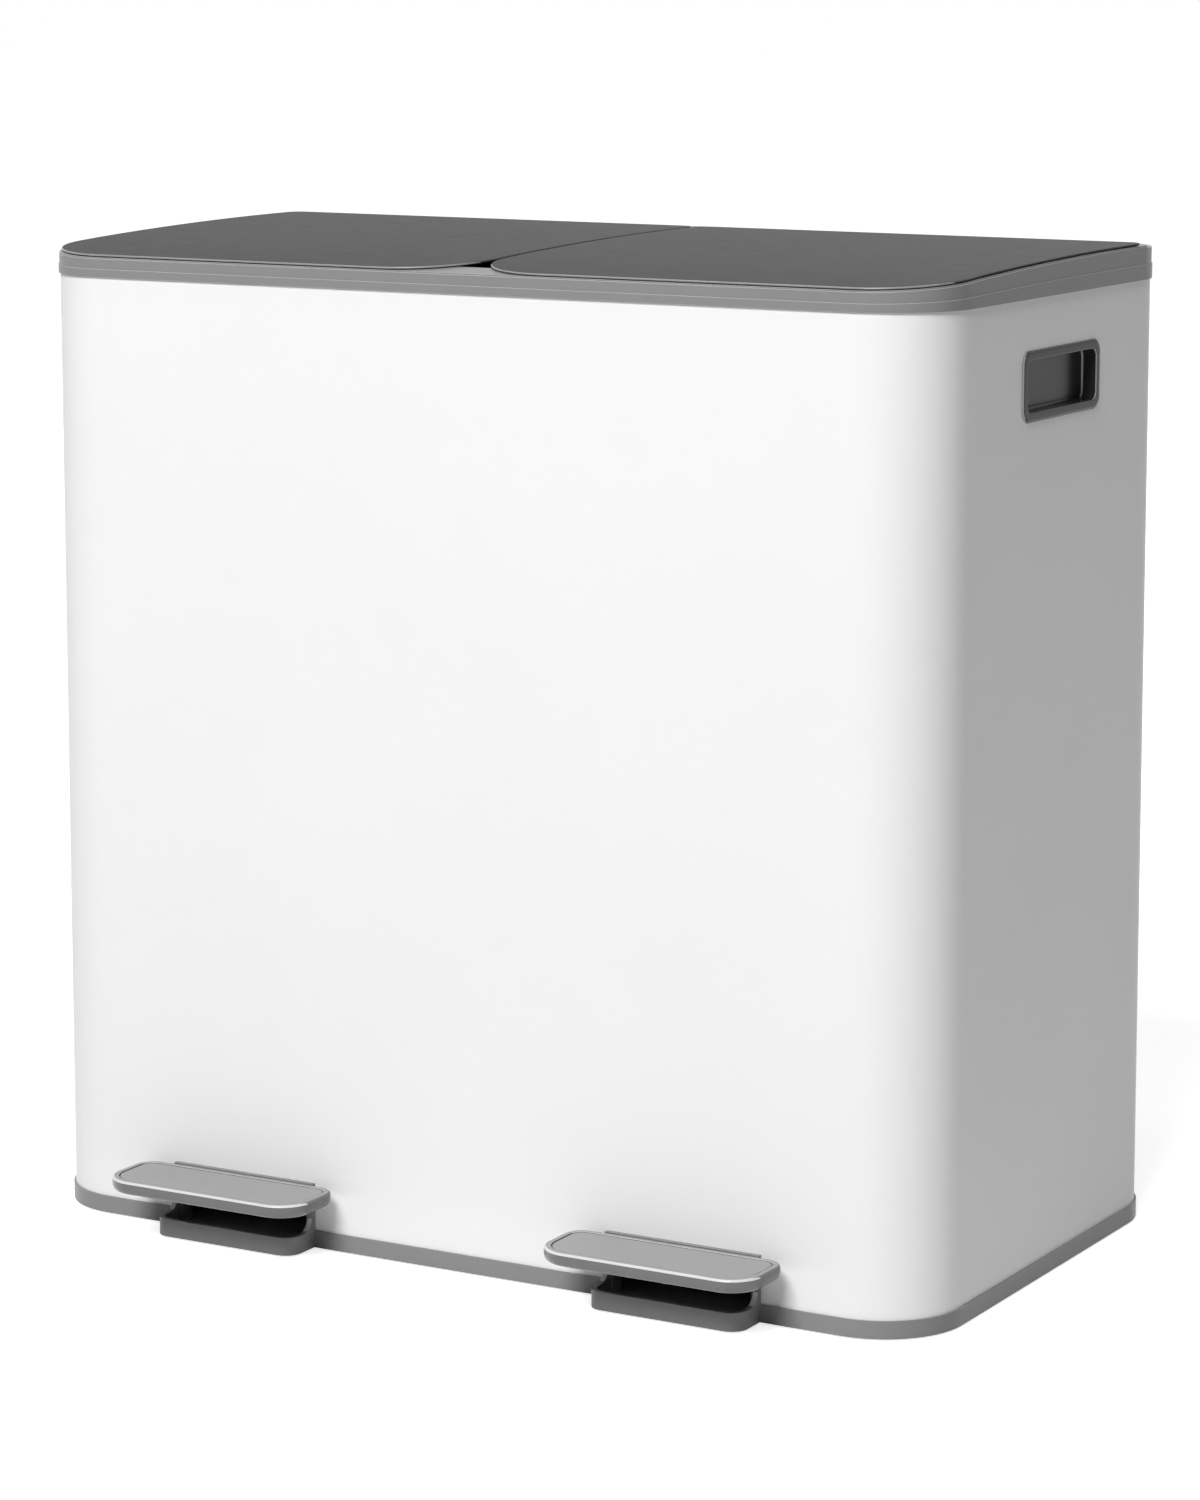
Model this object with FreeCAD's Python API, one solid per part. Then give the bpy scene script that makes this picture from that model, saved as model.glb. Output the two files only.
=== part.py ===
import FreeCAD, Part
import math
import os

# A pedal bin with two compartments: a coated sheet-metal body between a plastic base and a plastic
# top rim, two crowned lids, two pedals whose levers lift a push rod behind each bucket, and two
# lift-out buckets. Millimetres, +Z up, front towards -Y. Every piece is drawn about the middle of the
# body and all are moved along Y at the end, so that the origin is under the middle of the whole bin.

V = FreeCAD.Vector

# Body
BODY_WIDTH = 590.0
BODY_DEPTH = 332.4
FRONT_RADIUS = 48.6
REAR_RADIUS = 50.0
SHEET = 0.6
SHEET_BOTTOM = 6.0
SHEET_TOP = 571.0
OVERHANG = 1.2

# Top rim and the crown that its top and the lids share
RIM_BOTTOM = 564.7
RIM_STEP_LEVEL = 569.2
RIM_TOP_LEVEL = 575.9
RIM_STEP_DEPTH = 0.5
RIM_CHAMFER = 0.8
RIM_WALL = 3.3
DECK = 3.0
CROWN = [(-168.0, 0.0), (-138.0, 2.3), (-105.0, 4.3), (-3.0, 7.6), (170.0, 7.9)]
REAR_STRIP_Y = 121.5
REAR_STRIP_DROP = 1.4

# Mouth of each compartment, with the ledge that its bucket hangs on
MOUTH_INNER_X = 19.0
MOUTH_OUTER_X = 279.0
MOUTH_FRONT_Y = -143.5
MOUTH_REAR_Y = 100.0
MOUTH_RADIUS = 14.0
SKIRT = 2.0
SKIRT_BOTTOM = 550.0
LEDGE = 5.0
LEDGE_TOP = 556.7
LEDGE_THICK = 3.0
CENTRE_BAR_TOP = 564.0
CENTRE_BAR_THICK = 4.0
NOTCH_BEHIND = 2.0
NOTCH_BELOW = 5.0
STRIP_SKIN = 0.5

# Rubber buttons in the rim's front land, under each lid
BUMPER_R = 6.0
BUMPER_XS = (75.0, 230.0)
BUMPER_BEHIND_MOUTH = 12.0
BUMPER_SEAT = 1.0
BUMPER_PROUD = 0.25

# Lids
LID_INSET = 2.0
LID_SEAM = 1.6
LID_REAR_Y = 119.0
LID_INNER_RADIUS = 50.0
LID_REAR_RADIUS = 9.0
LID_TOP_LEVEL = 577.6
LID_THICK = 1.2
LINER_GAP = 6.0
LINER_DEPTH = 6.0
LINER_FLOOR = 2.0
LINER_WALL = 3.0
HINGE_Y = 136.0
HINGE_Z = 574.0
HINGE_SPREAD = 95.0
HINGE_PIN_R = 2.5
BARREL_R = 6.0
ARM_WIDTH = 10.0
ARM_TOP = 10.5
ARM_LOW = -1.0
ARM_ROOT = 8.0
ARM_SLOPE_Y = -24.0
ARM_END = (2.0, 5.5)
HINGE_SIDE_GAP = 1.5
CHEEK = 8.0
CHEEK_LENGTH = 22.0
CHEEK_DROP = 9.0
LINER_RIB = 2.4
LINER_RIB_SPREAD = 60.0
LID_ANGLE = 80.0

# Drive of each lid: lug, push rod, lever and pedal, all about the plane X = DRIVE_X
DRIVE_X = 147.4
CRANK = 20.0
ROD_WIDTH = 12.0
ROD_THICK = 3.0
ROD_FOOT_Z = 4.6
LINK_PIN_R = 2.5
LINK_PIN_HEAD = (4.0, 1.2)
LUG_R = 6.0
LUG_GAP = 0.8
LUG_THICK = 4.0
LUG_FLANK = (5.8, 1.5)
LUG_ROOT = 4.0
DRIVE_BAY_HALF = 10.0
EYE_WALL = 4.4
EYE_CORNER = 5.0
SLOT_GAP = 0.4
SLOT_SWAY = 0.9
PIVOT_Y = -75.0
PIVOT_Z = 23.0
REAR_PIN_Z = 10.0
LEVER_WIDTH = 25.0
LEVER_SHEET = 2.0
LEVER_TOP = [(-209.0, 31.4), (-186.0, 31.4), (-178.0, 29.5), (-170.0, 26.0), (-150.0, 25.5), (-92.0, 31.0),
             (-58.0, 31.0), (124.5, 16.0)]
LEVER_UNDER = [(124.5, 5.0), (-58.0, 15.0), (-92.0, 15.0), (-150.0, 15.0), (-168.0, 18.0), (-182.0, 20.5),
               (-187.0, 28.0), (-209.0, 28.4)]
WEB_END_Y = 104.0
LEVER_REACH_Y = 130.0
LEVER_HIGH = 40.0
AXLE_R = 3.0
AXLE_HEAD = (5.0, 1.5)
RUNNING_GAP = 0.06

# Brackets on the base that carry the levers
BRACKET_SIDE_GAP = 0.7
BRACKET_SHEET = 2.5
BRACKET_FOOT = (56.0, 26.0, 4.0)
BRACKET_CHEEK_R = 9.0
BRACKET_SCREWS = [(-22.5, -7.0), (-22.5, 7.0), (22.5, -7.0), (22.5, 7.0)]
BRACKET_SCREW_R = 2.0
BRACKET_SCREW_HEAD = (4.0, 2.4)
BRACKET_SCREW_SOCKET = (1.6, 1.5)

# Guides on the rear wall that keep the push rods upright
GUIDE_HEIGHTS = (140.0, 400.0)
GUIDE_TALL = 18.0
GUIDE_HALF = 12.0
GUIDE_GAP = 0.35
GUIDE_LIP = 4.0
GUIDE_HOLLOW_HALF = 4.0
GUIDE_HOLLOW_BEHIND_ROD = 6.0
GUIDE_FLANGE = 4.0
RIVET_XS = (-8.0, 8.0)
RIVET_R = 1.6
RIVET_LENGTH = 3.5
RIVET_HEAD = (3.4, 1.0)

# Base
RING_BOTTOM = 1.0
RING_TOP = 11.2
PAN_BOTTOM = 1.5
PAN_TOP = 3.5
UPSTAND_TOP = 30.0
HOUSING_WIDTH = 98.0
HOUSING_FRONT_Y = -191.9
HOUSING_TOP = 11.5
HOUSING_RADIUS = 10.0
HOUSING_WALL = 3.0
BEZEL_PROUD = 3.2
BEZEL_TOP = 41.1
NECK_WALL = 2.0
BUMP_INSIDE = 6.0
NECK_INSIDE = 8.0
GUSSET_R = 10.0
BASE_RIB = 2.5
BASE_RIB_TOP = 14.0
BASE_RIB_XS = (-228.0, -66.0, 0.0, 66.0, 228.0)
FOOT_R = 12.0
FOOT_XS = (-250.0, 0.0, 250.0)
FOOT_YS = (-128.0, 128.0)

# Pedals
PEDAL_WIDTH = 136.0
PEDAL_FRONT_Y = -219.5
PEDAL_REAR_Y = -170.5
PEDAL_BOTTOM = 31.4
PEDAL_TOP = 39.4
PEDAL_FRONT_RADIUS = 20.0
PEDAL_REAR_RADIUS = 12.0
PEDAL_TOP_ROUND = 1.7
PEDAL_UNDER_ROUND = 3.4
PAD_INSET = 4.2
PAD_DEPTH = 1.4
PAD_RECESS = 0.25
PEDAL_SCREW_XS = (-6.0, 6.0)
PEDAL_SCREW_Y = -198.0
PEDAL_SCREW_R = 1.6
PEDAL_SCREW_LENGTH = 6.5
PEDAL_SCREW_HEAD = (3.0, 1.4)

# Buckets
BUCKET_GAP = 1.0
BUCKET_FLANGE = 3.0
BUCKET_REST = 0.3
BUCKET_WALL = 2.0
BUCKET_FLOOR = 2.5
BUCKET_BOTTOM = 52.0
BUCKET_TAPER = 11.0
BUCKET_RADIUS = 12.0

# Handle cups
CUP_Y = 1.5
CUP_Z = 516.0
CUP_BEZEL = (105.0, 40.0, 8.0)
CUP_OUTER = (97.0, 33.0, 6.5)
CUP_INNER = (93.0, 29.0, 5.0)
CUP_DEPTH = 15.0
CUP_FLOOR = 2.0
CUP_PROUD = 1.1
CUP_ROUND = 0.7

# Worked out from the sizes above
HALF_WIDTH = BODY_WIDTH / 2
HALF_DEPTH = BODY_DEPTH / 2
FAR = 400.0
THROUGH = 5.0
SKY = 800.0
CRANK_START = math.radians(LID_ANGLE / 2)
LUG_PIN_Y = HINGE_Y - CRANK * math.cos(CRANK_START)
LUG_PIN_Z = HINGE_Z - CRANK * math.sin(CRANK_START)
ROD_SWAY = CRANK * (1 - math.cos(CRANK_START)) / 2
ROD_Y = LUG_PIN_Y - ROD_SWAY
ROD_TRAVEL = 2 * CRANK * math.sin(CRANK_START)
LEVER_ARM = math.hypot(ROD_Y - PIVOT_Y, PIVOT_Z - REAR_PIN_Z)
LEVER_ANGLE = 2 * math.degrees(math.asin(ROD_TRAVEL / 2 / LEVER_ARM))
LID_UNDER_LEVEL = LID_TOP_LEVEL - LID_THICK
HINGE_XS = (DRIVE_X - HINGE_SPREAD, DRIVE_X + HINGE_SPREAD)
HINGE_NEAR = ARM_WIDTH / 2 + HINGE_SIDE_GAP
HOUSING_LEFT = DRIVE_X - HOUSING_WIDTH / 2
HOUSING_RIGHT = DRIVE_X + HOUSING_WIDTH / 2
BEZEL_FACE_Y = -HALF_DEPTH - BEZEL_PROUD
BRACKET_NEAR = LEVER_WIDTH / 2 + BRACKET_SIDE_GAP
TO_ORIGIN = V(0, -(PEDAL_FRONT_Y + HALF_DEPTH + OVERHANG) / 2, 0)


# Drawing helpers

def outline(x0, x1, y0, y1, radii, z):
    """A closed wire round a rectangle, corners rounded in the order (x0,y0) (x1,y0) (x1,y1) (x0,y1)."""
    corners = [(x0, y0, 1, 1), (x1, y0, -1, 1), (x1, y1, -1, -1), (x0, y1, 1, -1)]
    edges = []
    ends = []
    for number, ((x, y, in_x, in_y), r) in enumerate(zip(corners, radii)):
        along_y = V(x, y + in_y * r, z)
        along_x = V(x + in_x * r, y, z)
        middle = V(x + in_x * r * (1 - math.sqrt(0.5)), y + in_y * r * (1 - math.sqrt(0.5)), z)
        first, last = (along_y, along_x) if number % 2 == 0 else (along_x, along_y)
        ends.append((first, last))
        if r > 0:
            edges.append(Part.Arc(first, middle, last).toShape())
    straights = [Part.makeLine(ends[i][1], ends[(i + 1) % 4][0]) for i in range(4)
                 if (ends[i][1] - ends[(i + 1) % 4][0]).Length > 1e-6]
    return Part.Wire(Part.__sortEdges__(edges + straights))


def plate(x0, x1, y0, y1, radii, z0, z1):
    """An upright block with rounded corners in plan."""
    if not isinstance(radii, tuple):
        radii = (radii,) * 4
    return Part.Face(outline(x0, x1, y0, y1, radii, z0)).extrude(V(0, 0, z1 - z0))


def box(x0, x1, y0, y1, z0, z1):
    return Part.makeBox(x1 - x0, y1 - y0, z1 - z0, V(x0, y0, z0))


def body_plate(offset, z0, z1):
    """The body's plan outline, moved outwards by offset, between two heights."""
    front = FRONT_RADIUS + offset
    rear = REAR_RADIUS + offset
    return plate(-HALF_WIDTH - offset, HALF_WIDTH + offset, -HALF_DEPTH - offset, HALF_DEPTH + offset,
                 (front, front, rear, rear), z0, z1)


def rod_x(y, z, radius, x0, x1):
    """A cylinder along X."""
    return Part.makeCylinder(radius, x1 - x0, V(x0, y, z), V(1, 0, 0))


def side_block(points, x0, x1):
    """A block along X over a polygon of (y, z) points."""
    corners = [V(x0, y, z) for y, z in points]
    return Part.Face(Part.makePolygon(corners + corners[:1])).extrude(V(x1 - x0, 0, 0))


def side_plate(centre_y, centre_z, size, x0, x1):
    """A block along X over a rounded rectangle that stands in the YZ plane."""
    width, height, radius = size
    wire = outline(-width / 2, width / 2, -height / 2, height / 2, (radius,) * 4, 0)
    block = Part.Face(wire).extrude(V(0, 0, x1 - x0))
    turn = FreeCAD.Rotation(V(0, 1, 0), V(0, 0, 1), V(1, 0, 0), "XYZ")
    block.Placement = FreeCAD.Placement(V(x0, centre_y, centre_z), turn)
    return block


def under_crown(level, share=1.0):
    """All that lies below the crowned surface at a level, or below a share of its rise."""
    front, rise, knee, top, rear = [V(-FAR, y, level + share * z) for y, z in CROWN]
    ahead = V(-FAR, -FAR, front.z)
    behind = V(-FAR, FAR, rear.z)
    low_rear = V(-FAR, FAR, 0)
    low_front = V(-FAR, -FAR, 0)
    edges = [Part.makeLine(ahead, front), Part.Arc(front, rise, knee).toShape(),
             Part.Arc(knee, top, rear).toShape(), Part.makeLine(rear, behind),
             Part.makeLine(behind, low_rear), Part.makeLine(low_rear, low_front),
             Part.makeLine(low_front, ahead)]
    return Part.Face(Part.Wire(edges)).extrude(V(2 * FAR, 0, 0))


def mirrored(shape):
    return shape.mirror(V(0, 0, 0), V(1, 0, 0))


def joined(shapes):
    first, *others = shapes
    return first.fuse(others).removeSplitter()


def both_sides(shape):
    return [shape, mirrored(shape)]


# Fixed housing

def shell_sleeve():
    """The coated sheet body, with openings for the pedal necks, the handle cups and the rivets."""
    sleeve = body_plate(0, SHEET_BOTTOM, SHEET_TOP).cut(body_plate(-SHEET, 0, SKY))
    neck = box(HOUSING_LEFT + HOUSING_WALL, HOUSING_RIGHT - HOUSING_WALL, -HALF_DEPTH - THROUGH,
               -HALF_DEPTH + THROUGH, 0, BEZEL_TOP - HOUSING_WALL)
    cup = side_plate(CUP_Y, CUP_Z, CUP_OUTER, HALF_WIDTH - THROUGH, HALF_WIDTH + THROUGH)
    rivets = [piece for one in right_rivets() for piece in both_sides(one)]
    return sleeve.cut(both_sides(neck) + both_sides(cup) + rivets)


def mouth(grow, z0, z1):
    """The right compartment's mouth, grown outwards, between two heights."""
    return plate(MOUTH_INNER_X - grow, MOUTH_OUTER_X + grow, MOUTH_FRONT_Y - grow, MOUTH_REAR_Y + grow,
                 MOUTH_RADIUS + grow, z0, z1)


def drive_bay():
    """The space in the rim's rear that the lid's lug and the head of the rod move through."""
    left, right = DRIVE_X - DRIVE_BAY_HALF, DRIVE_X + DRIVE_BAY_HALF
    behind_mouth = MOUTH_REAR_Y + 2 * SKIRT
    through = box(left, right, behind_mouth, HINGE_Y + 2 * THROUGH, SKIRT_BOTTOM - THROUGH, SKY)
    over_wall = box(left, right, MOUTH_REAR_Y - 1, behind_mouth, LEDGE_TOP + 1, SKY)
    return through.fuse(over_wall)


def hinge_notch(x):
    return box(x - HINGE_NEAR, x + HINGE_NEAR, MOUTH_REAR_Y - 1, HINGE_Y + BARREL_R + NOTCH_BEHIND,
               HINGE_Z - BARREL_R - NOTCH_BELOW, SKY)


def hinge_cheeks(x):
    """Two blocks under the rear strip that carry a hinge pin."""
    front = HINGE_Y - CHEEK_DROP
    return [box(x0, x0 + CHEEK, front, front + CHEEK_LENGTH, HINGE_Z - CHEEK_DROP, SKY)
            for x0 in (x - HINGE_NEAR - CHEEK, x + HINGE_NEAR)]


def rim_collar():
    """The rim's wall and deck: a lower band, a narrower upper band and a small chamfer below the land."""
    upper_offset = OVERHANG - RIM_STEP_DEPTH
    lower = body_plate(OVERHANG, RIM_BOTTOM, SKY).common(under_crown(RIM_STEP_LEVEL, 0.5))
    upper = body_plate(upper_offset, RIM_BOTTOM, SKY).common(under_crown(RIM_TOP_LEVEL - RIM_CHAMFER))
    land = body_plate(upper_offset - RIM_CHAMFER, RIM_BOTTOM, SKY).common(under_crown(RIM_TOP_LEVEL))
    hollow = body_plate(-RIM_WALL, RIM_BOTTOM - 1, SKY).common(under_crown(RIM_TOP_LEVEL - DECK))
    return joined([lower, upper, land]).cut(hollow)


def top_rim():
    """The plastic rim: collar, mouths with their ledges, hinge cheeks and the bar between the mouths."""
    strip_level = RIM_TOP_LEVEL - REAR_STRIP_DROP
    skirt = mouth(SKIRT, SKIRT_BOTTOM, SKY).common(under_crown(RIM_TOP_LEVEL - DECK / 2))
    below_strip = under_crown(strip_level - STRIP_SKIN)
    cheeks = [block.common(below_strip) for x in HINGE_XS for block in hinge_cheeks(x)]
    centre_bar = box(-MOUTH_INNER_X - 1, MOUTH_INNER_X + 1, MOUTH_FRONT_Y - SKIRT, MOUTH_REAR_Y + SKIRT,
                     CENTRE_BAR_TOP - CENTRE_BAR_THICK, CENTRE_BAR_TOP)
    right_pieces = [skirt] + cheeks
    rim = joined([rim_collar(), centre_bar] + [piece for one in right_pieces for piece in both_sides(one)])

    centre_half = MOUTH_INNER_X + MOUTH_RADIUS
    centre_gap = box(-centre_half, centre_half, MOUTH_FRONT_Y, MOUTH_REAR_Y, CENTRE_BAR_TOP, SKY)
    above_strip = box(-FAR, FAR, REAR_STRIP_Y, FAR, RIM_BOTTOM, SKY).cut(under_crown(strip_level))
    rim = rim.cut(both_sides(mouth(0, 0, SKY)) + [centre_gap, above_strip])

    ledge = mouth(1, LEDGE_TOP - LEDGE_THICK, LEDGE_TOP).cut(mouth(-LEDGE, 0, SKY))
    rim = joined([rim] + both_sides(ledge))
    right_gaps = [drive_bay(), hinge_pins()] + [hinge_notch(x) for x in HINGE_XS] + bumper_columns()
    gaps = [piece for one in right_gaps for piece in both_sides(one)]
    return rim.cut(gaps + [shell_sleeve()])


def bumper_columns():
    """Two upright cylinders from the seats of the right lid's rubber buttons upwards."""
    y = MOUTH_FRONT_Y - BUMPER_BEHIND_MOUTH
    return [Part.makeCylinder(BUMPER_R, FAR, V(x, y, RIM_TOP_LEVEL - BUMPER_SEAT)) for x in BUMPER_XS]


def lid_bumpers():
    """Rubber buttons under the front corners of a lid, standing just proud of the land."""
    below_lid = under_crown(RIM_TOP_LEVEL + BUMPER_PROUD)
    return Part.makeCompound([column.common(below_lid) for column in bumper_columns()])


def base_tray():
    """The base: ring, floor pan with ribs, and a housing with a raised bezel behind each pedal."""
    ring = body_plate(OVERHANG, RING_BOTTOM, RING_TOP).cut(body_plate(-RIM_WALL, 0, SKY))
    upstand = body_plate(-SHEET, PAN_BOTTOM, UPSTAND_TOP).cut(body_plate(-RIM_WALL, 0, SKY))
    pan = body_plate(1 - RIM_WALL, PAN_BOTTOM, PAN_TOP)
    ribs = [box(x - BASE_RIB / 2, x + BASE_RIB / 2, RIM_WALL - HALF_DEPTH, HALF_DEPTH - RIM_WALL,
                PAN_BOTTOM, BASE_RIB_TOP) for x in BASE_RIB_XS]

    front_corners = (HOUSING_RADIUS, HOUSING_RADIUS, 0, 0)
    bump = plate(HOUSING_LEFT, HOUSING_RIGHT, HOUSING_FRONT_Y, BUMP_INSIDE - HALF_DEPTH, front_corners,
                 RING_BOTTOM, HOUSING_TOP)
    bezel = box(HOUSING_LEFT, HOUSING_RIGHT, BEZEL_FACE_Y, -HALF_DEPTH, RING_BOTTOM, BEZEL_TOP)
    inner_left, inner_right = HOUSING_LEFT + HOUSING_WALL, HOUSING_RIGHT - HOUSING_WALL
    neck_top = BEZEL_TOP - HOUSING_WALL
    neck = box(inner_left, inner_right, -HALF_DEPTH - 1, NECK_INSIDE - HALF_DEPTH, RING_BOTTOM, neck_top)
    gusset = box(HOUSING_LEFT, HOUSING_RIGHT, BEZEL_FACE_Y - GUSSET_R, BEZEL_FACE_Y,
                 HOUSING_TOP, HOUSING_TOP + GUSSET_R)
    gusset = gusset.cut(rod_x(BEZEL_FACE_Y - GUSSET_R, HOUSING_TOP + GUSSET_R, GUSSET_R,
                              HOUSING_LEFT - 1, HOUSING_RIGHT + 1))
    housing = joined([bump, bezel, neck, gusset])

    opening_top = neck_top - NECK_WALL
    pocket_radius = HOUSING_RADIUS - HOUSING_WALL
    pocket = plate(inner_left, inner_right, HOUSING_FRONT_Y + HOUSING_WALL, BEZEL_FACE_Y + 1,
                   (pocket_radius, pocket_radius, 0, 0), PAN_TOP, opening_top)
    tunnel = box(inner_left + NECK_WALL, inner_right - NECK_WALL, BEZEL_FACE_Y, NECK_INSIDE + 1 - HALF_DEPTH,
                 PAN_TOP, opening_top)
    base = joined([ring, upstand, pan] + ribs + both_sides(housing))
    holes = both_sides(pocket) + both_sides(tunnel) + both_sides(bracket_screws())
    return base.cut(holes + [shell_sleeve()])


def rubber_feet():
    places = [V(x, y, 0) for x in FOOT_XS for y in FOOT_YS]
    return Part.makeCompound([Part.makeCylinder(FOOT_R, PAN_BOTTOM, place) for place in places])


def handle_cup():
    """A recessed grip: a flat bezel on the body's side round a shallow cup."""
    outside = HALF_WIDTH + CUP_PROUD
    bottom = HALF_WIDTH - CUP_DEPTH
    bezel = side_plate(CUP_Y, CUP_Z, CUP_BEZEL, HALF_WIDTH, outside)
    outer_edges = [edge for edge in bezel.Edges if edge.BoundBox.XMin > outside - 0.1]
    bezel = bezel.makeFillet(CUP_ROUND, outer_edges)
    cup = side_plate(CUP_Y, CUP_Z, CUP_OUTER, bottom, outside)
    cavity = side_plate(CUP_Y, CUP_Z, CUP_INNER, bottom + CUP_FLOOR, outside + 1)
    return joined([bezel, cup]).cut(cavity)


def hinge_pins():
    reach = HINGE_NEAR + CHEEK
    return Part.makeCompound([rod_x(HINGE_Y, HINGE_Z, HINGE_PIN_R, x - reach, x + reach) for x in HINGE_XS])


def rod_guides():
    """Two plastic brackets on the rear wall that keep the push rod upright."""
    wall = HALF_DEPTH - SHEET
    slot_half = ROD_THICK / 2 + GUIDE_GAP
    rod_half = ROD_WIDTH / 2
    hollow_y = ROD_Y + rod_half + GUIDE_HOLLOW_BEHIND_ROD
    solids = []
    for z in GUIDE_HEIGHTS:
        block = box(DRIVE_X - GUIDE_HALF, DRIVE_X + GUIDE_HALF, ROD_Y - rod_half - GUIDE_LIP, wall,
                    z, z + GUIDE_TALL)
        slot = box(DRIVE_X - slot_half, DRIVE_X + slot_half, ROD_Y - rod_half - GUIDE_GAP,
                   ROD_Y + rod_half + GUIDE_GAP, z - 1, z + GUIDE_TALL + 1)
        hollows = [box(DRIVE_X + x - GUIDE_HOLLOW_HALF, DRIVE_X + x + GUIDE_HOLLOW_HALF, hollow_y,
                       wall - GUIDE_FLANGE, z - 1, z + GUIDE_TALL + 1) for x in RIVET_XS]
        solids.append(block.cut([slot] + hollows + right_rivets()))
    return Part.makeCompound(solids)


def rivet(x, z):
    """A flat-headed rivet through the rear wall into a rod guide."""
    head_r, head_height = RIVET_HEAD
    shank = Part.makeCylinder(RIVET_R, RIVET_LENGTH + SHEET, V(x, HALF_DEPTH, z), V(0, -1, 0))
    head = Part.makeCylinder(head_r, head_height, V(x, HALF_DEPTH, z), V(0, 1, 0))
    return joined([shank, head])


def right_rivets():
    return [rivet(DRIVE_X + x, z + GUIDE_TALL / 2) for z in GUIDE_HEIGHTS for x in RIVET_XS]


def guide_rivets():
    return Part.makeCompound([piece for one in right_rivets() for piece in both_sides(one)])


# Drive: brackets, levers, rods and their pins

def headed_pin(y, z, radius, reach, head):
    """A pin along X through the plane of the drive, with a head on each end."""
    head_r, head_length = head
    end = reach + head_length
    return joined([rod_x(y, z, radius, DRIVE_X - end, DRIVE_X + end),
                   rod_x(y, z, head_r, DRIVE_X + reach, DRIVE_X + end),
                   rod_x(y, z, head_r, DRIVE_X - end, DRIVE_X - reach)])


def axle_bracket():
    """A pressed U bracket on the base pan that carries a lever's axle."""
    length, depth, corner = BRACKET_FOOT
    foot = plate(DRIVE_X - length / 2, DRIVE_X + length / 2, PIVOT_Y - depth / 2, PIVOT_Y + depth / 2, corner,
                 PAN_TOP, PAN_TOP + BRACKET_SHEET)
    cheeks = []
    for x0 in (DRIVE_X - BRACKET_NEAR - BRACKET_SHEET, DRIVE_X + BRACKET_NEAR):
        x1 = x0 + BRACKET_SHEET
        cheeks.append(box(x0, x1, PIVOT_Y - BRACKET_CHEEK_R, PIVOT_Y + BRACKET_CHEEK_R, PAN_TOP, PIVOT_Z))
        cheeks.append(rod_x(PIVOT_Y, PIVOT_Z, BRACKET_CHEEK_R, x0, x1))
    return joined([foot] + cheeks).cut([lever_axle(), bracket_screws()])


def bracket_screw(x, y):
    """A socket-headed screw through the bracket's foot into the pan."""
    top = PAN_TOP + BRACKET_SHEET
    tip = PAN_BOTTOM + 0.2
    head_r, head_height = BRACKET_SCREW_HEAD
    socket_r, socket_depth = BRACKET_SCREW_SOCKET
    shank = Part.makeCylinder(BRACKET_SCREW_R, top - tip, V(x, y, tip))
    head = Part.makeCylinder(head_r, head_height, V(x, y, top))
    socket = Part.makeCylinder(socket_r, socket_depth, V(x, y, top + head_height - socket_depth))
    return joined([shank, head]).cut(socket)


def bracket_screws():
    return Part.makeCompound([bracket_screw(DRIVE_X + x, PIVOT_Y + y) for x, y in BRACKET_SCREWS])


def lever_axle():
    return headed_pin(PIVOT_Y, PIVOT_Z, AXLE_R, BRACKET_NEAR + BRACKET_SHEET, AXLE_HEAD)


def pedal_lever():
    """A pressed channel, web up, bent down under the pedal and open at the rear round the rod."""
    half = LEVER_WIDTH / 2
    inside = half - LEVER_SHEET
    channel = side_block(LEVER_TOP + LEVER_UNDER, DRIVE_X - half, DRIVE_X + half)
    front_y, front_z = LEVER_TOP[0]
    ahead_y = front_y - THROUGH
    below = [(LEVER_REACH_Y, 0.0), (ahead_y, 0.0), (ahead_y, front_z - LEVER_SHEET)]
    under_web = [(y, z - LEVER_SHEET) for y, z in LEVER_TOP]
    core = side_block(under_web + below, DRIVE_X - inside, DRIVE_X + inside)
    rear = box(DRIVE_X - inside, DRIVE_X + inside, WEB_END_Y, LEVER_REACH_Y, 0, LEVER_HIGH)
    axle_hole = rod_x(PIVOT_Y, PIVOT_Z, AXLE_R + RUNNING_GAP, DRIVE_X - half - 1, DRIVE_X + half + 1)
    pin_hole = rod_x(ROD_Y, REAR_PIN_Z, LINK_PIN_R, DRIVE_X - half - 1, DRIVE_X + half + 1)
    return channel.cut([core, rear, axle_hole, pin_hole, pedal_screws()])


def rod_pin():
    return headed_pin(ROD_Y, REAR_PIN_Z, LINK_PIN_R, LEVER_WIDTH / 2, LINK_PIN_HEAD)


def push_rod():
    """A flat strip with a slotted eye at each end, which rises straight up."""
    x0, x1 = DRIVE_X - ROD_THICK / 2, DRIVE_X + ROD_THICK / 2
    eye = (2 * (ROD_SWAY + LINK_PIN_R + EYE_WALL), 2 * (LINK_PIN_R + SLOT_SWAY + EYE_WALL), EYE_CORNER)
    strip = box(x0, x1, ROD_Y - ROD_WIDTH / 2, ROD_Y + ROD_WIDTH / 2, ROD_FOOT_Z, LUG_PIN_Z)
    head = side_plate(ROD_Y, LUG_PIN_Z, eye, x0, x1)
    top_slot = slot_x(ROD_Y, LUG_PIN_Z, ROD_SWAY + LINK_PIN_R + SLOT_GAP, LINK_PIN_R + SLOT_SWAY)
    foot_slot = slot_x(ROD_Y, REAR_PIN_Z, LINK_PIN_R + SLOT_SWAY, LINK_PIN_R + SLOT_GAP)
    return joined([strip, head]).cut([top_slot, foot_slot])


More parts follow.
